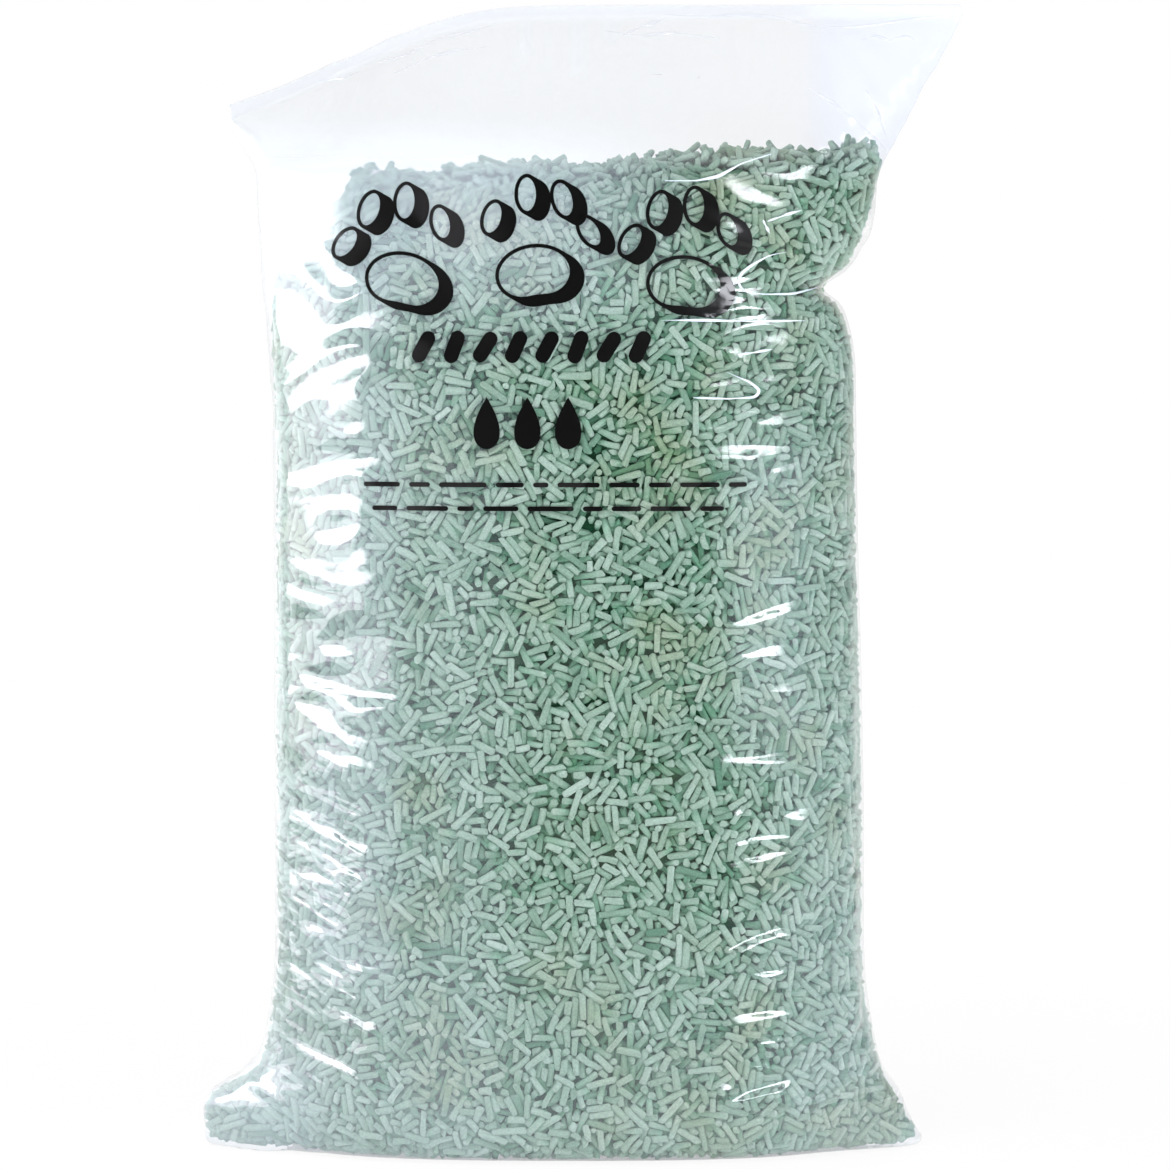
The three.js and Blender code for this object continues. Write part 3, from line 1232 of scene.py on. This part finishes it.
class DepthField:
    """How deep points lie inside a closed surface, read from a grid."""

    margin = 2
    inside_grid = 1.001

    def __init__(self, piece: bpy.types.Object, step: float, band: float) -> None:
        """Measures the grid.

        Args:
            piece: The closed surface.
            step: The grid's pitch.
            band: The depth past which a point counts as this deep.
        """
        tree = tree_of(piece)
        points = points_of(piece)
        edge = self.margin * step
        self.step = step
        self.low = points.min(0) - edge
        self.shape = np.ceil((points.max(0) + edge - self.low) / step).astype(int) + 1
        depth = np.full(self.shape.prod(), band)
        places = np.stack(np.meshgrid(*(np.arange(n) for n in self.shape), indexing="ij"), -1)
        for number, place in enumerate((self.low + places.reshape(-1, 3) * step).tolist()):
            spot, normal, _, distance = tree.find_nearest(place, band)
            if spot is not None:
                outside = (Vector(place) - spot).dot(normal) > 0
                depth[number] = -distance if outside else distance
        self.depth = depth.reshape(self.shape)
        self.slope = np.stack(np.gradient(self.depth, step), -1)

    def sample(self, points: np.ndarray) -> tuple[np.ndarray, np.ndarray]:
        """Reads the grid between its points.

        Args:
            points: Rows of x, y, z.

        Returns:
            The depth of each row, and the unit way inwards from it.
        """
        place = np.clip((points - self.low) / self.step, 0, self.shape - self.inside_grid)
        base = place.astype(int)
        share = place - base
        depth = np.zeros(len(points))
        slope = np.zeros((len(points), 3))
        for corner in np.ndindex(2, 2, 2):
            weight = np.prod(np.where(corner, share, 1 - share), axis=1)
            at = tuple((base + corner).T)
            depth += weight * self.depth[at]
            slope += weight[:, None] * self.slope[at]
        return depth, unit(slope)


def close_pairs(points: np.ndarray, reach: float) -> tuple[np.ndarray, np.ndarray]:
    """Finds the pairs of points nearer to each other than a distance.

    Args:
        points: Rows of x, y, z.
        reach: The distance.

    Returns:
        The first and the second point's number of each pair.
    """
    cell = np.floor((points - points.min(0)) / reach).astype(np.int64) + 1
    wide = cell.max(0) + 2
    key = (cell[:, 0] * wide[1] + cell[:, 1]) * wide[2] + cell[:, 2]
    order = np.argsort(key, kind="stable")
    ranked = key[order]
    firsts, seconds = [], []
    for way in np.ndindex(3, 3, 3):
        x, y, z = (part - 1 for part in way)
        offset = (x * wide[1] + y) * wide[2] + z
        if offset < 0:
            continue
        start = np.searchsorted(ranked, key + offset, "left")
        count = np.searchsorted(ranked, key + offset, "right") - start
        first = np.repeat(np.arange(len(points)), count)
        ramp = np.arange(count.sum()) - np.repeat(np.cumsum(count) - count, count)
        second = order[np.repeat(start, count) + ramp]
        keep = first < second if offset == 0 else slice(None)
        firsts.append(first[keep])
        seconds.append(second[keep])
    first, second = np.concatenate(firsts), np.concatenate(seconds)
    near = np.sum((points[first] - points[second]) ** 2, axis=1) < reach * reach
    return first[near], second[near]


def spread_over(
    piece: bpy.types.Object, count: int, rng: np.random.Generator, bits: int = 10
) -> tuple[np.ndarray, np.ndarray]:
    """Spreads points evenly over a surface, by walking its triangles neighbour by neighbour.

    Args:
        piece: The surface.
        count: How many points to spread.
        rng: The source of chance.
        bits: How finely the walk tells places apart, as a power of two along each axis.

    Returns:
        The points, and the surface's normals there.
    """
    piece.data.calc_loop_triangles()
    corners = np.array([triangle.vertices for triangle in piece.data.loop_triangles])
    points = points_of(piece)[corners]
    middle = points.mean(1)
    largest = (middle.max(0) - middle.min(0)).max()
    cell = ((middle - middle.min(0)) / largest * (2**bits - 1)).astype(np.int64)
    code = sum(((cell[:, axis] >> bit) & 1) << (3 * bit + axis) for bit in range(bits) for axis in range(3))
    points = points[np.argsort(code, kind="stable")]
    cross = np.cross(points[:, 1] - points[:, 0], points[:, 2] - points[:, 0])
    area = np.cumsum(np.linalg.norm(cross, axis=1))
    at = (np.arange(count) + rng.random(count)) / count * area[-1]
    picked = np.minimum(np.searchsorted(area, at), len(area) - 1)
    first, second = rng.random((2, count, 1))
    over = first + second > 1
    first, second = np.where(over, 1 - first, first), np.where(over, 1 - second, second)
    a, b, c = points[picked].transpose(1, 0, 2)
    return a + first * (b - a) + second * (c - a), unit(cross[picked])


@dataclass(frozen=True)
class PelletLayer:
    """One layer of pellets under the film."""

    depths: Span
    count: int
    sides: int
    rounded: bool
    bent: bool


@dataclass(frozen=True)
class PelletForm:
    """How one pellet differs from the next: shares of its radius or its length."""

    girths: Span = (0.86, 1.06)
    lumps: float = 0.075
    taper: float = 0.14
    end_slant: float = 0.4
    bow: float = 0.045
    end_part: float = 0.3
    end_inset: float = 0.3
    end_draw: float = 0.92
    rim: float = 0.9
    end_facing: float = 0.9
    lengthwise: float = 0.5
    smooth_angle: float = math.radians(75)


@dataclass(frozen=True)
class PelletTints:
    """How pale pellets are, from 0 to 1."""

    mean: float = 0.545
    spread: float = 0.13
    least: float = 0.15
    rare: float = 0.12
    rare_share: float = 0.012
    # Painted shade: the deepest layer's pellets are made this much darker.
    behind: float = 0.88


@dataclass
class LitterPack:
    """The pellets: scattered in layers under the film, then pushed apart until they lie beside each other."""

    finish: PelletFinish
    node: str = "litter_fill"
    form: PelletForm = PelletForm()
    tints: PelletTints = PelletTints()
    radius: float = 2.65 * MM
    lengths: Span = (5 * MM, 27 * MM)
    length_chance: Span = (1.5, 2.3)
    blunt_share: float = 0.8
    wall_gap: float = 0.4 * MM
    layers: tuple[PelletLayer, ...] = (
        PelletLayer((0.0, 2.0 * MM), 5000, 6, True, True),
        PelletLayer((0.0, 3.0 * MM), 7000, 6, True, False),
        PelletLayer((3.6 * MM, 7.5 * MM), 8500, 5, False, False),
    )
    flat_dip: float = 1.2 * MM
    tilted_dip: float = 7 * MM
    flat_share: float = 0.45
    steep_from: float = 0.95
    steepest: float = 1.7
    # Painted shade: the depths over which pellets are painted darker.
    painted_shade_depths: Span = (2.5 * MM, 7.5 * MM)
    voxel: float = 6 * MM
    smooth_factor: float = 0.5
    smooth_rounds: int = 10
    slumps: tuple[Shift, ...] = (
        Shift(Axis.X, 18, (Fade(Axis.Z, 585, 700), Fade(Axis.X, -120, -200))),
        Shift(Axis.Z, 6, (Fade(Axis.X, 100, 190), Fade(Axis.Z, 655, 705))),
        Shift(Axis.Z, 26, (Fade(Axis.X, 165, 226), Fade(Axis.Z, 645, 690))),
        Shift(Axis.Z, -10, (Fade(Axis.Z, 640, 715), Fade(Axis.X, 110, 10))),
        Shift(Axis.Z, 16, (Fade(Axis.X, -110, -165), Fade(Axis.X, -195, -170), Fade(Axis.Z, 640, 690))),
    )
    depth_step: float = 6 * MM
    depth_band: float = 24 * MM
    beads: int = 6
    rounds: int = 80
    search_every: int = 6
    search_reach: float = 1.35
    push_share: float = 0.2
    pull_share: float = 0.10
    least_gap: float = 1e-6
    loose_above: float = 698.0
    loose_within: float = 62.0
    loose_share: float = 0.6
    loose_tilt: Span = (2 * MM, 9 * MM)
    loose_lift: float = 2.5 * MM
    core_depth: float = 11.0
    core_voxel: float = 9 * MM
    core_keep: float = 0.4
    seed: int = 55
    layer: np.ndarray = field(init=False)
    length: np.ndarray = field(init=False)
    half: np.ndarray = field(init=False)
    target: np.ndarray = field(init=False)
    ends: np.ndarray = field(init=False)
    tint: np.ndarray = field(init=False)
    girth: np.ndarray = field(init=False)
    depths: DepthField = field(init=False)

    def container(self) -> bpy.types.Object:
        """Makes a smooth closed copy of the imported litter, with its top as it has slumped.

        Returns:
            The copy.
        """
        piece = copy_of_node(self.node, "litter_container")
        apply_modifier(piece, "REMESH", mode="VOXEL", voxel_size=self.voxel)
        apply_modifier(piece, "SMOOTH", factor=self.smooth_factor, iterations=self.smooth_rounds)
        slumped = pushed(points_of(piece), self.slumps)
        set_points(piece, LEFT_LEAN.lean(pushed(slumped, PINCH)))
        return piece

    def scatter(self, piece: bpy.types.Object, rng: np.random.Generator) -> None:
        """Throws pellets onto the container's surface, most lying along it and some dipping in.

        Args:
            piece: The container.
            rng: The source of chance.
        """
        count = sum(layer.count for layer in self.layers)
        spots = [spread_over(piece, layer.count, rng) for layer in self.layers]
        place, normal = (np.concatenate(rows) for rows in zip(*spots))
        depth = np.concatenate([rng.uniform(*layer.depths, layer.count) for layer in self.layers])
        self.layer = np.repeat(np.arange(len(self.layers)), [layer.count for layer in self.layers])
        shortest, longest = self.lengths
        self.length = shortest + (longest - shortest) * rng.beta(*self.length_chance, count)
        self.half = self.length / 2 - self.blunt_share * self.radius
        chance = rng.random(count)
        dip = rng.uniform(0, self.flat_dip, count)
        dip = np.where(chance > self.flat_share, rng.uniform(self.flat_dip, self.tilted_dip, count), dip)
        dip = np.where(chance > self.steep_from, self.steepest * self.half, dip)
        dip = np.minimum(dip, self.steepest * self.half)
        shallow = depth + self.radius + self.wall_gap
        self.target = np.stack([shallow, shallow + dip], 1)
        way = unit(np.cross(normal, rng.normal(size=(count, 3))))
        steep = (dip / (2 * self.half))[:, None]
        way = way * np.sqrt(1 - steep**2) - normal * steep
        middle = place - normal * self.target.mean(1)[:, None]
        reach = self.half[:, None] * way
        self.ends = np.stack([middle - reach, middle + reach], 1)

    def settle(self) -> None:
        """Pushes the pellets apart and against the film."""
        share = np.linspace(0, 1, self.beads)
        owner = np.repeat(np.arange(len(self.half)), self.beads)
        along = np.tile(share, len(self.half))
        size = 2 * self.radius
        for turn in range(self.rounds):
            beads = self.ends[:, :1] + (self.ends[:, 1:] - self.ends[:, :1]) * share[None, :, None]
            beads = beads.reshape(-1, 3)
            if turn % self.search_every == 0:
                first, second = close_pairs(beads, self.search_reach * size)
                apart = owner[first] != owner[second]
                first, second = first[apart], second[apart]
            gap = beads[second] - beads[first]
            distance = np.maximum(np.linalg.norm(gap, axis=1), self.least_gap)
            deep = size - distance
            hit = deep > 0
            push = gap[hit] * (self.push_share * deep[hit] / distance[hit])[:, None]
            for bead, move in ((first[hit], -push), (second[hit], push)):
                for end, weight in ((0, 1 - along[bead]), (1, along[bead])):
                    for axis in Axis:
                        self.ends[:, end, axis] += np.bincount(
                            owner[bead], move[:, axis] * weight, len(self.half)
                        )
            self._keep_inside(self.pull_share)
            self._keep_length()
        self._keep_inside(0.0)
        self._keep_length()
        LOG.info("settled: %d touching pairs, mean overlap %.2f mm", hit.sum(), deep[hit].mean() / MM)

    def _keep_inside(self, pull: float) -> None:
        """Moves ends that reach the film inwards, and draws the others to their own depth.

        Args:
            pull: The share of the way to that depth.
        """
        flat = self.ends.reshape(-1, 3)
        depth, inward = self.depths.sample(flat)
        short = np.maximum(self.radius + self.wall_gap - depth, 0.0)
        spare = depth - self.target.ravel()
        self.ends = (flat + inward * (short - pull * spare)[:, None]).reshape(-1, 2, 3)

    def _keep_length(self) -> None:
        """Gives every pellet its length back."""
        middle = self.ends.mean(1)
        reach = unit(self.ends[:, 1] - self.ends[:, 0]) * self.half[:, None]
        self.ends = np.stack([middle - reach, middle + reach], 1)

    def ruffle_top(self, rng: np.random.Generator) -> None:
        """Lifts one end of pellets on the open top, so that they lie loosely.

        Args:
            rng: The source of chance.
        """
        _, y, z = (self.ends.mean(1) / MM).T
        outer = self.layer < len(self.layers) - 1
        loose = outer & (z > self.loose_above) & (np.abs(y) < self.loose_within)
        loose &= rng.random(len(z)) < self.loose_share
        self.ends[loose, 1, Axis.Z] += rng.uniform(*self.loose_tilt, loose.sum())
        self.ends[loose, :, Axis.Z] += rng.uniform(0, self.loose_lift, (loose.sum(), 1))
        self._keep_length()

    def pellet(self, layer: PelletLayer) -> tuple[np.ndarray, list[list[int]]]:
        """Models one pellet of unit length and radius, along X.

        Args:
            layer: The layer that it is for.

        Returns:
            Its vertices and its faces.
        """
        deselect_all()
        bpy.ops.mesh.primitive_cylinder_add(
            vertices=layer.sides, radius=1.0, depth=1.0, rotation=(0, math.pi / 2, 0)
        )
        piece = bpy.context.object
        bpy.ops.object.transform_apply(rotation=True)
        if layer.rounded:
            self._round_ends(piece, layer.bent)
        vertices = points_of(piece)
        faces = [list(face.vertices) for face in piece.data.polygons]
        bpy.data.meshes.remove(piece.data)
        return vertices, faces

    def _round_ends(self, piece: bpy.types.Object, bent: bool) -> None:
        """Gives a pellet blunt ends, and a ring round its middle when it is to be bent.

        Args:
            piece: The plain pellet.
            bent: Whether it is to be bent.
        """
        form = self.form
        with edit_mode(piece):
            bpy.ops.mesh.select_mode(type="FACE")
            bpy.ops.mesh.select_all(action="DESELECT")
            mesh = bmesh.from_edit_mesh(piece.data)
            for face in mesh.faces:
                face.select_set(abs(face.normal.x) > form.end_facing)
            bmesh.update_edit_mesh(piece.data)
            bpy.ops.mesh.inset(thickness=form.end_inset)
            bpy.ops.mesh.select_mode(type="EDGE")
            bpy.ops.mesh.select_all(action="DESELECT")
            mesh = bmesh.from_edit_mesh(piece.data)
            for edge in mesh.edges:
                edge.select_set(abs(edge.verts[0].co.x - edge.verts[1].co.x) > form.lengthwise)
            bmesh.update_edit_mesh(piece.data)
            if bent:
                bpy.ops.mesh.subdivide(number_cuts=1)
            mesh = bmesh.from_edit_mesh(piece.data)
            for vertex in mesh.verts:
                if math.hypot(vertex.co.y, vertex.co.z) > form.rim:
                    vertex.co.x *= form.end_draw
            bmesh.update_edit_mesh(piece.data)

    def build(self) -> list[bpy.types.Object]:
        """Builds and dresses the pellets.

        Returns:
            The pieces that stand for the litter.
        """
        rng = np.random.default_rng(self.seed)
        container = self.container()
        self.scatter(container, rng)
        self.depths = DepthField(container, self.depth_step, self.depth_band)
        self.settle()
        self.ruffle_top(rng)
        material = self.finish.material()
        middle = self.ends.mean(1)
        self.dress(rng)
        height = np.median(middle[:, Axis.Z])
        pieces = []
        for half, in_half in (("front", middle[:, Axis.Y] < 0), ("back", middle[:, Axis.Y] >= 0)):
            for part, in_part in (("low", middle[:, Axis.Z] < height), ("high", middle[:, Axis.Z] >= height)):
                piece = self._pour(f"pellets_{half}_{part}", np.flatnonzero(in_half & in_part), rng)
                piece.data.materials.append(material)
                pieces.append(piece)
        pieces.append(self._core(container, material))
        return pieces

    def dress(self, rng: np.random.Generator) -> None:
        """Gives every pellet its tint and its girth, and paints the deepest layer darker as shade.

        Args:
            rng: The source of chance.
        """
        count, tints = len(self.layer), self.tints
        self.tint = np.clip(rng.normal(tints.mean, tints.spread, count), tints.least, 1)
        self.tint[rng.random(count) < tints.rare_share] = tints.rare
        # Painted shade: pellets of the deepest layer are darkened.
        self.tint[self.layer == len(self.layers) - 1] *= tints.behind
        self.girth = self.radius * rng.uniform(*self.form.girths, count)

    def _pour(self, name: str, chosen: np.ndarray, rng: np.random.Generator) -> bpy.types.Object:
        """Makes one piece of many pellets, no two alike.

        Args:
            name: The piece's name.
            chosen: The pellets' numbers.
            rng: The source of chance.

        Returns:
            The piece.
        """
        all_points, all_faces, all_tints, base = [], [], [], 0
        for number, layer in enumerate(self.layers):
            mine = chosen[self.layer[chosen] == number]
            vertices, faces = self.pellet(layer)
            points = self._placed(mine, vertices, rng)
            all_points.append(points.reshape(-1, 3))
            all_tints.append(np.repeat(self.tint[mine], len(vertices)))
            starts = base + np.arange(len(mine)) * len(vertices)
            all_faces += [[start + corner for corner in face] for start in starts.tolist() for face in faces]
            base += len(mine) * len(vertices)
        points = np.concatenate(all_points)
        mesh = bpy.data.meshes.new(name)
        mesh.from_pydata(points.tolist(), [], all_faces)
        piece = bpy.data.objects.new(name, mesh)
        set_values(piece, "tint", np.concatenate(all_tints))
        # Painted shade: how deep each vertex lies darkens it in the material.
        set_values(piece, "depth", ease(*self.painted_shade_depths, self.depths.sample(points)[0]))
        bpy.context.scene.collection.objects.link(piece)
        activate(piece)
        bpy.ops.object.shade_smooth_by_angle(angle=self.form.smooth_angle)
        return piece

    def _placed(self, mine: np.ndarray, vertices: np.ndarray, rng: np.random.Generator) -> np.ndarray:
        """Puts copies of one pellet in their places, each lumpy, tapered, cut and bowed in its own way.

        Args:
            mine: The pellets' numbers.
            vertices: The vertices of a pellet of unit length and radius.
            rng: The source of chance.

        Returns:
            The vertices of each copy.
        """
        form, many = self.form, (len(mine), 1)
        length = self.length[mine][:, None]
        way = unit(self.ends[mine, 1] - self.ends[mine, 0])
        side = unit(np.cross(way, rng.normal(size=way.shape)))
        up = np.cross(way, side)
        along, across, above = (vertices[None, :, axis] for axis in Axis)
        wobble = 1 + rng.normal(0, form.lumps, (len(mine), len(vertices)))
        wobble *= 1 + rng.normal(0, form.taper, many) * along
        girth = self.girth[mine][:, None] * wobble
        slant = np.where(along < 0, rng.normal(0, form.end_slant, many), rng.normal(0, form.end_slant, many))
        bow = rng.normal(0, form.bow, many) * length * (0.25 - along**2) * 2
        forward = length * along + slant * girth * across * (np.abs(along) > form.end_part)
        return (
            self.ends[mine].mean(1)[:, None]
            + way[:, None] * forward[..., None]
            + side[:, None] * (girth * across + bow)[..., None]
            + up[:, None] * (girth * above)[..., None]
        )

    def _core(self, container: bpy.types.Object, material: bpy.types.Material) -> bpy.types.Object:
        """Draws the container in, to stand for the litter behind the layers, as a dark sheet of painted
        shade.

        Args:
            container: The container.
            material: The pellets' material.

        Returns:
            The core.
        """
        container.name = "packed_litter_painted_shade"
        set_points(container, points_of(container) - normals_of(container) * self.core_depth * MM)
        apply_modifier(container, "REMESH", mode="VOXEL", voxel_size=self.core_voxel)
        apply_modifier(container, "DECIMATE", ratio=self.core_keep)
        container.data.materials.append(material)
        # Painted shade: the core takes tint 0, the darkest colour, and full depth darkening, to show the
        # shade between pellets.
        set_values(container, "tint", np.zeros(len(container.data.vertices)))
        set_values(container, "depth", np.ones(len(container.data.vertices)))
        return container


# The studio


@dataclass(frozen=True)
class Softbox:
    """A soft lamp that faces the sack."""

    name: str
    role: Role
    azimuth: float
    height: float
    distance: float
    size: Span
    radiance: float
    colour: tuple[float, float, float] = (1.0, 1.0, 1.0)
    fade: Span = (0.02, 0.02)

    def build(self, aim: Vector) -> None:
        """Puts the lamp up.

        Args:
            aim: The point that it faces.
        """
        lamp = bpy.data.lights.new(self.name, "AREA")
        lamp.shape = "RECTANGLE"
        lamp.size, lamp.size_y = self.size
        lamp.energy = self.radiance * math.pi * self.size[0] * self.size[1]
        lamp.color = self.colour
        self._soften(lamp)
        angle = math.radians(self.azimuth)
        place = Vector((math.sin(angle) * self.distance, -math.cos(angle) * self.distance, self.height))
        holder = bpy.data.objects.new(self.name, lamp)
        holder.location = place
        holder.rotation_euler = (aim - place).to_track_quat("-Z", "Y").to_euler()
        holder.visible_camera = False
        holder.visible_diffuse = self.role is Role.SHADE
        holder.visible_glossy = self.role is Role.GLARE
        bpy.context.scene.collection.objects.link(holder)

    def _soften(self, lamp: bpy.types.Light) -> None:
        """Makes the lamp fade out towards its edges.

        Args:
            lamp: The lamp.
        """
        nodes = NodeTree(lamp)
        across, up, _ = nodes.parts(nodes.add("NewGeometry").outputs["Parametric"])
        strength = 1.0
        for place, fade in zip((across, up), self.fade):
            near = nodes.math("MINIMUM", place, nodes.math("SUBTRACT", 1.0, place))
            share = nodes.span(near, (0.0, fade), interpolation_type="SMOOTHSTEP")
            strength = nodes.math("MULTIPLY", share, strength)
        glow = nodes.add("Emission", {"Strength": strength}).outputs[0]
        nodes.add("OutputLight", {"Surface": glow})


@dataclass
class Studio:
    """White floor and surround, soft lamps and the camera."""

    lamps: tuple[Softbox, ...] = (
        Softbox(
            "left_panel", Role.GLARE, -71, 0.775, 1.6, (2.6, 0.75), 10.5, (0.99, 0.96, 1.03), (0.12, 0.2)
        ),
        Softbox("left_wall", Role.GLARE, -76, 0.15, 1.6, (2.4, 1.2), 2.8, (1.03, 0.90, 1.01), (0.15, 0.25)),
        Softbox("back_left_panel", Role.GLARE, -126, 0.45, 1.6, (1.1, 1.4), 1.1, (0.96, 0.98, 1.05)),
        Softbox(
            "right_panel", Role.GLARE, 37, 1.27, 2.2, (1.3, 0.82), 14.0, (0.96, 0.98, 1.04), (0.38, 0.25)
        ),
        Softbox("front_softbox", Role.SHADE, -28, 1.8, 1.7, (1.1, 0.9), 9.6),
        Softbox("low_softbox", Role.SHADE, 12, 0.16, 1.8, (1.4, 0.4), 10.5),
        Softbox("left_softbox", Role.SHADE, -75, 0.60, 1.8, (1.0, 1.3), 4.2),
        Softbox("back_softbox", Role.SHADE, 170, 1.2, 2.2, (1.6, 1.2), 4.5),
        Softbox("right_softbox", Role.SHADE, 60, 0.50, 2.0, (1.0, 1.3), 5.2, (0.97, 1.0, 1.05)),
    )
    lamps_aim: tuple[float, float, float] = (0.0, 0.0, 0.42)
    floor_size: float = 14.0
    floor_colour: Colour = (0.92, 0.92, 0.92, 1.0)
    floor_fade: Span = (0.3, 1.1)
    floor_white: Span = (0.92, 1.0)
    front_span: Span = (-0.5, 0.1)
    front_loss: float = 0.55
    ambient: float = 0.36
    back_span: Span = (-0.6, 0.1)
    front_gloom: float = 0.015
    behind: float = 0.92
    ceiling_span: Span = (0.5, 0.85)
    ceiling: float = 1.1
    right_span: Span = (0.4, 0.8)
    right_dim: float = 0.25
    distance: float = 4.6
    elevation: float = 4.0
    frame_height: float = 0.854
    aim: tuple[float, float, float] = (0.006, 0.0, 0.412)
    sensor: float = 36.0
    clip_end: float = 50.0

    def build(self) -> None:
        """Builds the floor, the surround, the lamps and the camera."""
        self.floor()
        self.surround()
        for lamp in self.lamps:
            lamp.build(Vector(self.lamps_aim))
        self.camera()

    def floor(self) -> None:
        """Lays the white floor, which fades into the surround away from the sack."""
        deselect_all()
        bpy.ops.mesh.primitive_plane_add(size=self.floor_size)
        floor = bpy.context.object
        floor.name = "floor"
        material, nodes = new_material("white_floor")
        path = nodes.add("LightPath").outputs
        seen = nodes.math("MAXIMUM", path["Is Camera Ray"], path["Is Glossy Ray"])
        seen = nodes.math("MAXIMUM", seen, path["Is Transmission Ray"])
        place = nodes.add("TexCoord").outputs["Object"]
        away = nodes.add("VectorMath", {0: place}, operation="LENGTH").outputs["Value"]
        share = nodes.math("MULTIPLY", seen, nodes.span(away, self.floor_fade, self.floor_white))
        matt = nodes.add("BsdfDiffuse", {"Color": self.floor_colour}).outputs[0]
        loss = nodes.span(nodes.parts(place)[Axis.Y], self.front_span, (self.front_loss, 0.0))
        strength = nodes.math("SUBTRACT", 1.0, nodes.math("MULTIPLY", path["Is Glossy Ray"], loss))
        glow = nodes.add("Emission", {"Color": WHITE, "Strength": strength}).outputs[0]
        nodes.add("OutputMaterial", {"Surface": nodes.mixed(share, matt, glow)})
        floor.data.materials.append(material)

    def surround(self) -> None:
        """Makes the world white to the eye, and dim as a light."""
        world = bpy.data.worlds.new("surround")
        bpy.context.scene.world = world
        nodes = NodeTree(world)
        path = nodes.add("LightPath").outputs
        right, back, rise = nodes.parts(nodes.add("TexCoord").outputs["Generated"])
        behind = nodes.span(back, self.back_span, (self.front_gloom, self.behind))
        behind = nodes.math("MULTIPLY", behind, nodes.span(right, self.right_span, (1.0, self.right_dim)))
        above = nodes.span(rise, self.ceiling_span, (0.0, self.ceiling))
        mirrored = nodes.math("MULTIPLY", path["Is Glossy Ray"], nodes.math("MAXIMUM", behind, above))
        shade = nodes.math("MULTIPLY", path["Is Diffuse Ray"], self.ambient)
        seen = nodes.math("MAXIMUM", path["Is Camera Ray"], path["Is Transmission Ray"])
        level = nodes.math("MAXIMUM", nodes.math("MAXIMUM", seen, mirrored), shade)
        surface = nodes.add("Background", {"Color": WHITE, "Strength": level}).outputs[0]
        nodes.add("OutputWorld", {"Surface": surface})

    def camera(self) -> None:
        """Sets the camera at the photograph's angle."""
        lens = bpy.data.cameras.new("camera")
        lens.sensor_width = self.sensor
        lens.lens = lens.sensor_width * self.distance / self.frame_height
        lens.clip_end = self.clip_end
        holder = bpy.data.objects.new("camera", lens)
        angle = math.radians(self.elevation)
        aim = Vector(self.aim)
        holder.location = aim + Vector((0.0, -math.cos(angle), math.sin(angle))) * self.distance
        holder.rotation_euler = (aim - holder.location).to_track_quat("-Z", "Y").to_euler()
        bpy.context.scene.collection.objects.link(holder)
        bpy.context.scene.camera = holder


def enter(piece: bpy.types.Object, node: str) -> None:
    """Tells the frame what a piece stands for, and logs it.

    Args:
        piece: The finished piece.
        node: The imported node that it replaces.
    """
    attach(piece, BODY)
    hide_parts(node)
    piece.data.calc_loop_triangles()
    LOG.info("%s: %d triangles", piece.name, len(piece.data.loop_triangles))


def main() -> None:
    """Builds the sack and its studio, and reports each piece."""
    logging.basicConfig(level=logging.INFO, format="%(name)s: %(message)s")
    bpy.context.scene.view_settings.view_transform = "Standard"
    film = FilmSack(FilmFinish())
    films = film.build()
    # Painted highlight: heavy pale haze makes the front folds glow white, as the highlights on the creases.
    fold_painted_highlight_finish = FilmFinish(name="folded_film_painted_highlight", haze=0.85, gloss=Gloss(head_on=0.15))
    # Painted shadow: grey-blue haze draws the pleats as the darker shadow lines under the top weld.
    pleat_painted_shadow_finish = FilmFinish(name="pleated_film_painted_shadow", haze=0.22, haze_colour=(0.66, 0.69, 0.80, 1.0))
    folds = FilmFolds("film_folds", FRONT_FOLDS, fold_painted_highlight_finish, width=2.4 * MM, height=1.3 * MM)
    pleats = FilmFolds("header_pleats", HEADER_PLEATS, pleat_painted_shadow_finish, width=3.4 * MM, height=0.7 * MM)
    outside = tree_of(*films)
    films.append(folds.build(outside))
    films.append(pleats.build(outside))
    films.append(FrontPrint(InkFinish()).build(films[0]))
    litter = LitterPack(PelletFinish())
    pellets = litter.build()
    for piece in films:
        enter(piece, film.node)
    for piece in pellets:
        enter(piece, litter.node)
    Studio().build()


if __name__ == "__main__":
    main()
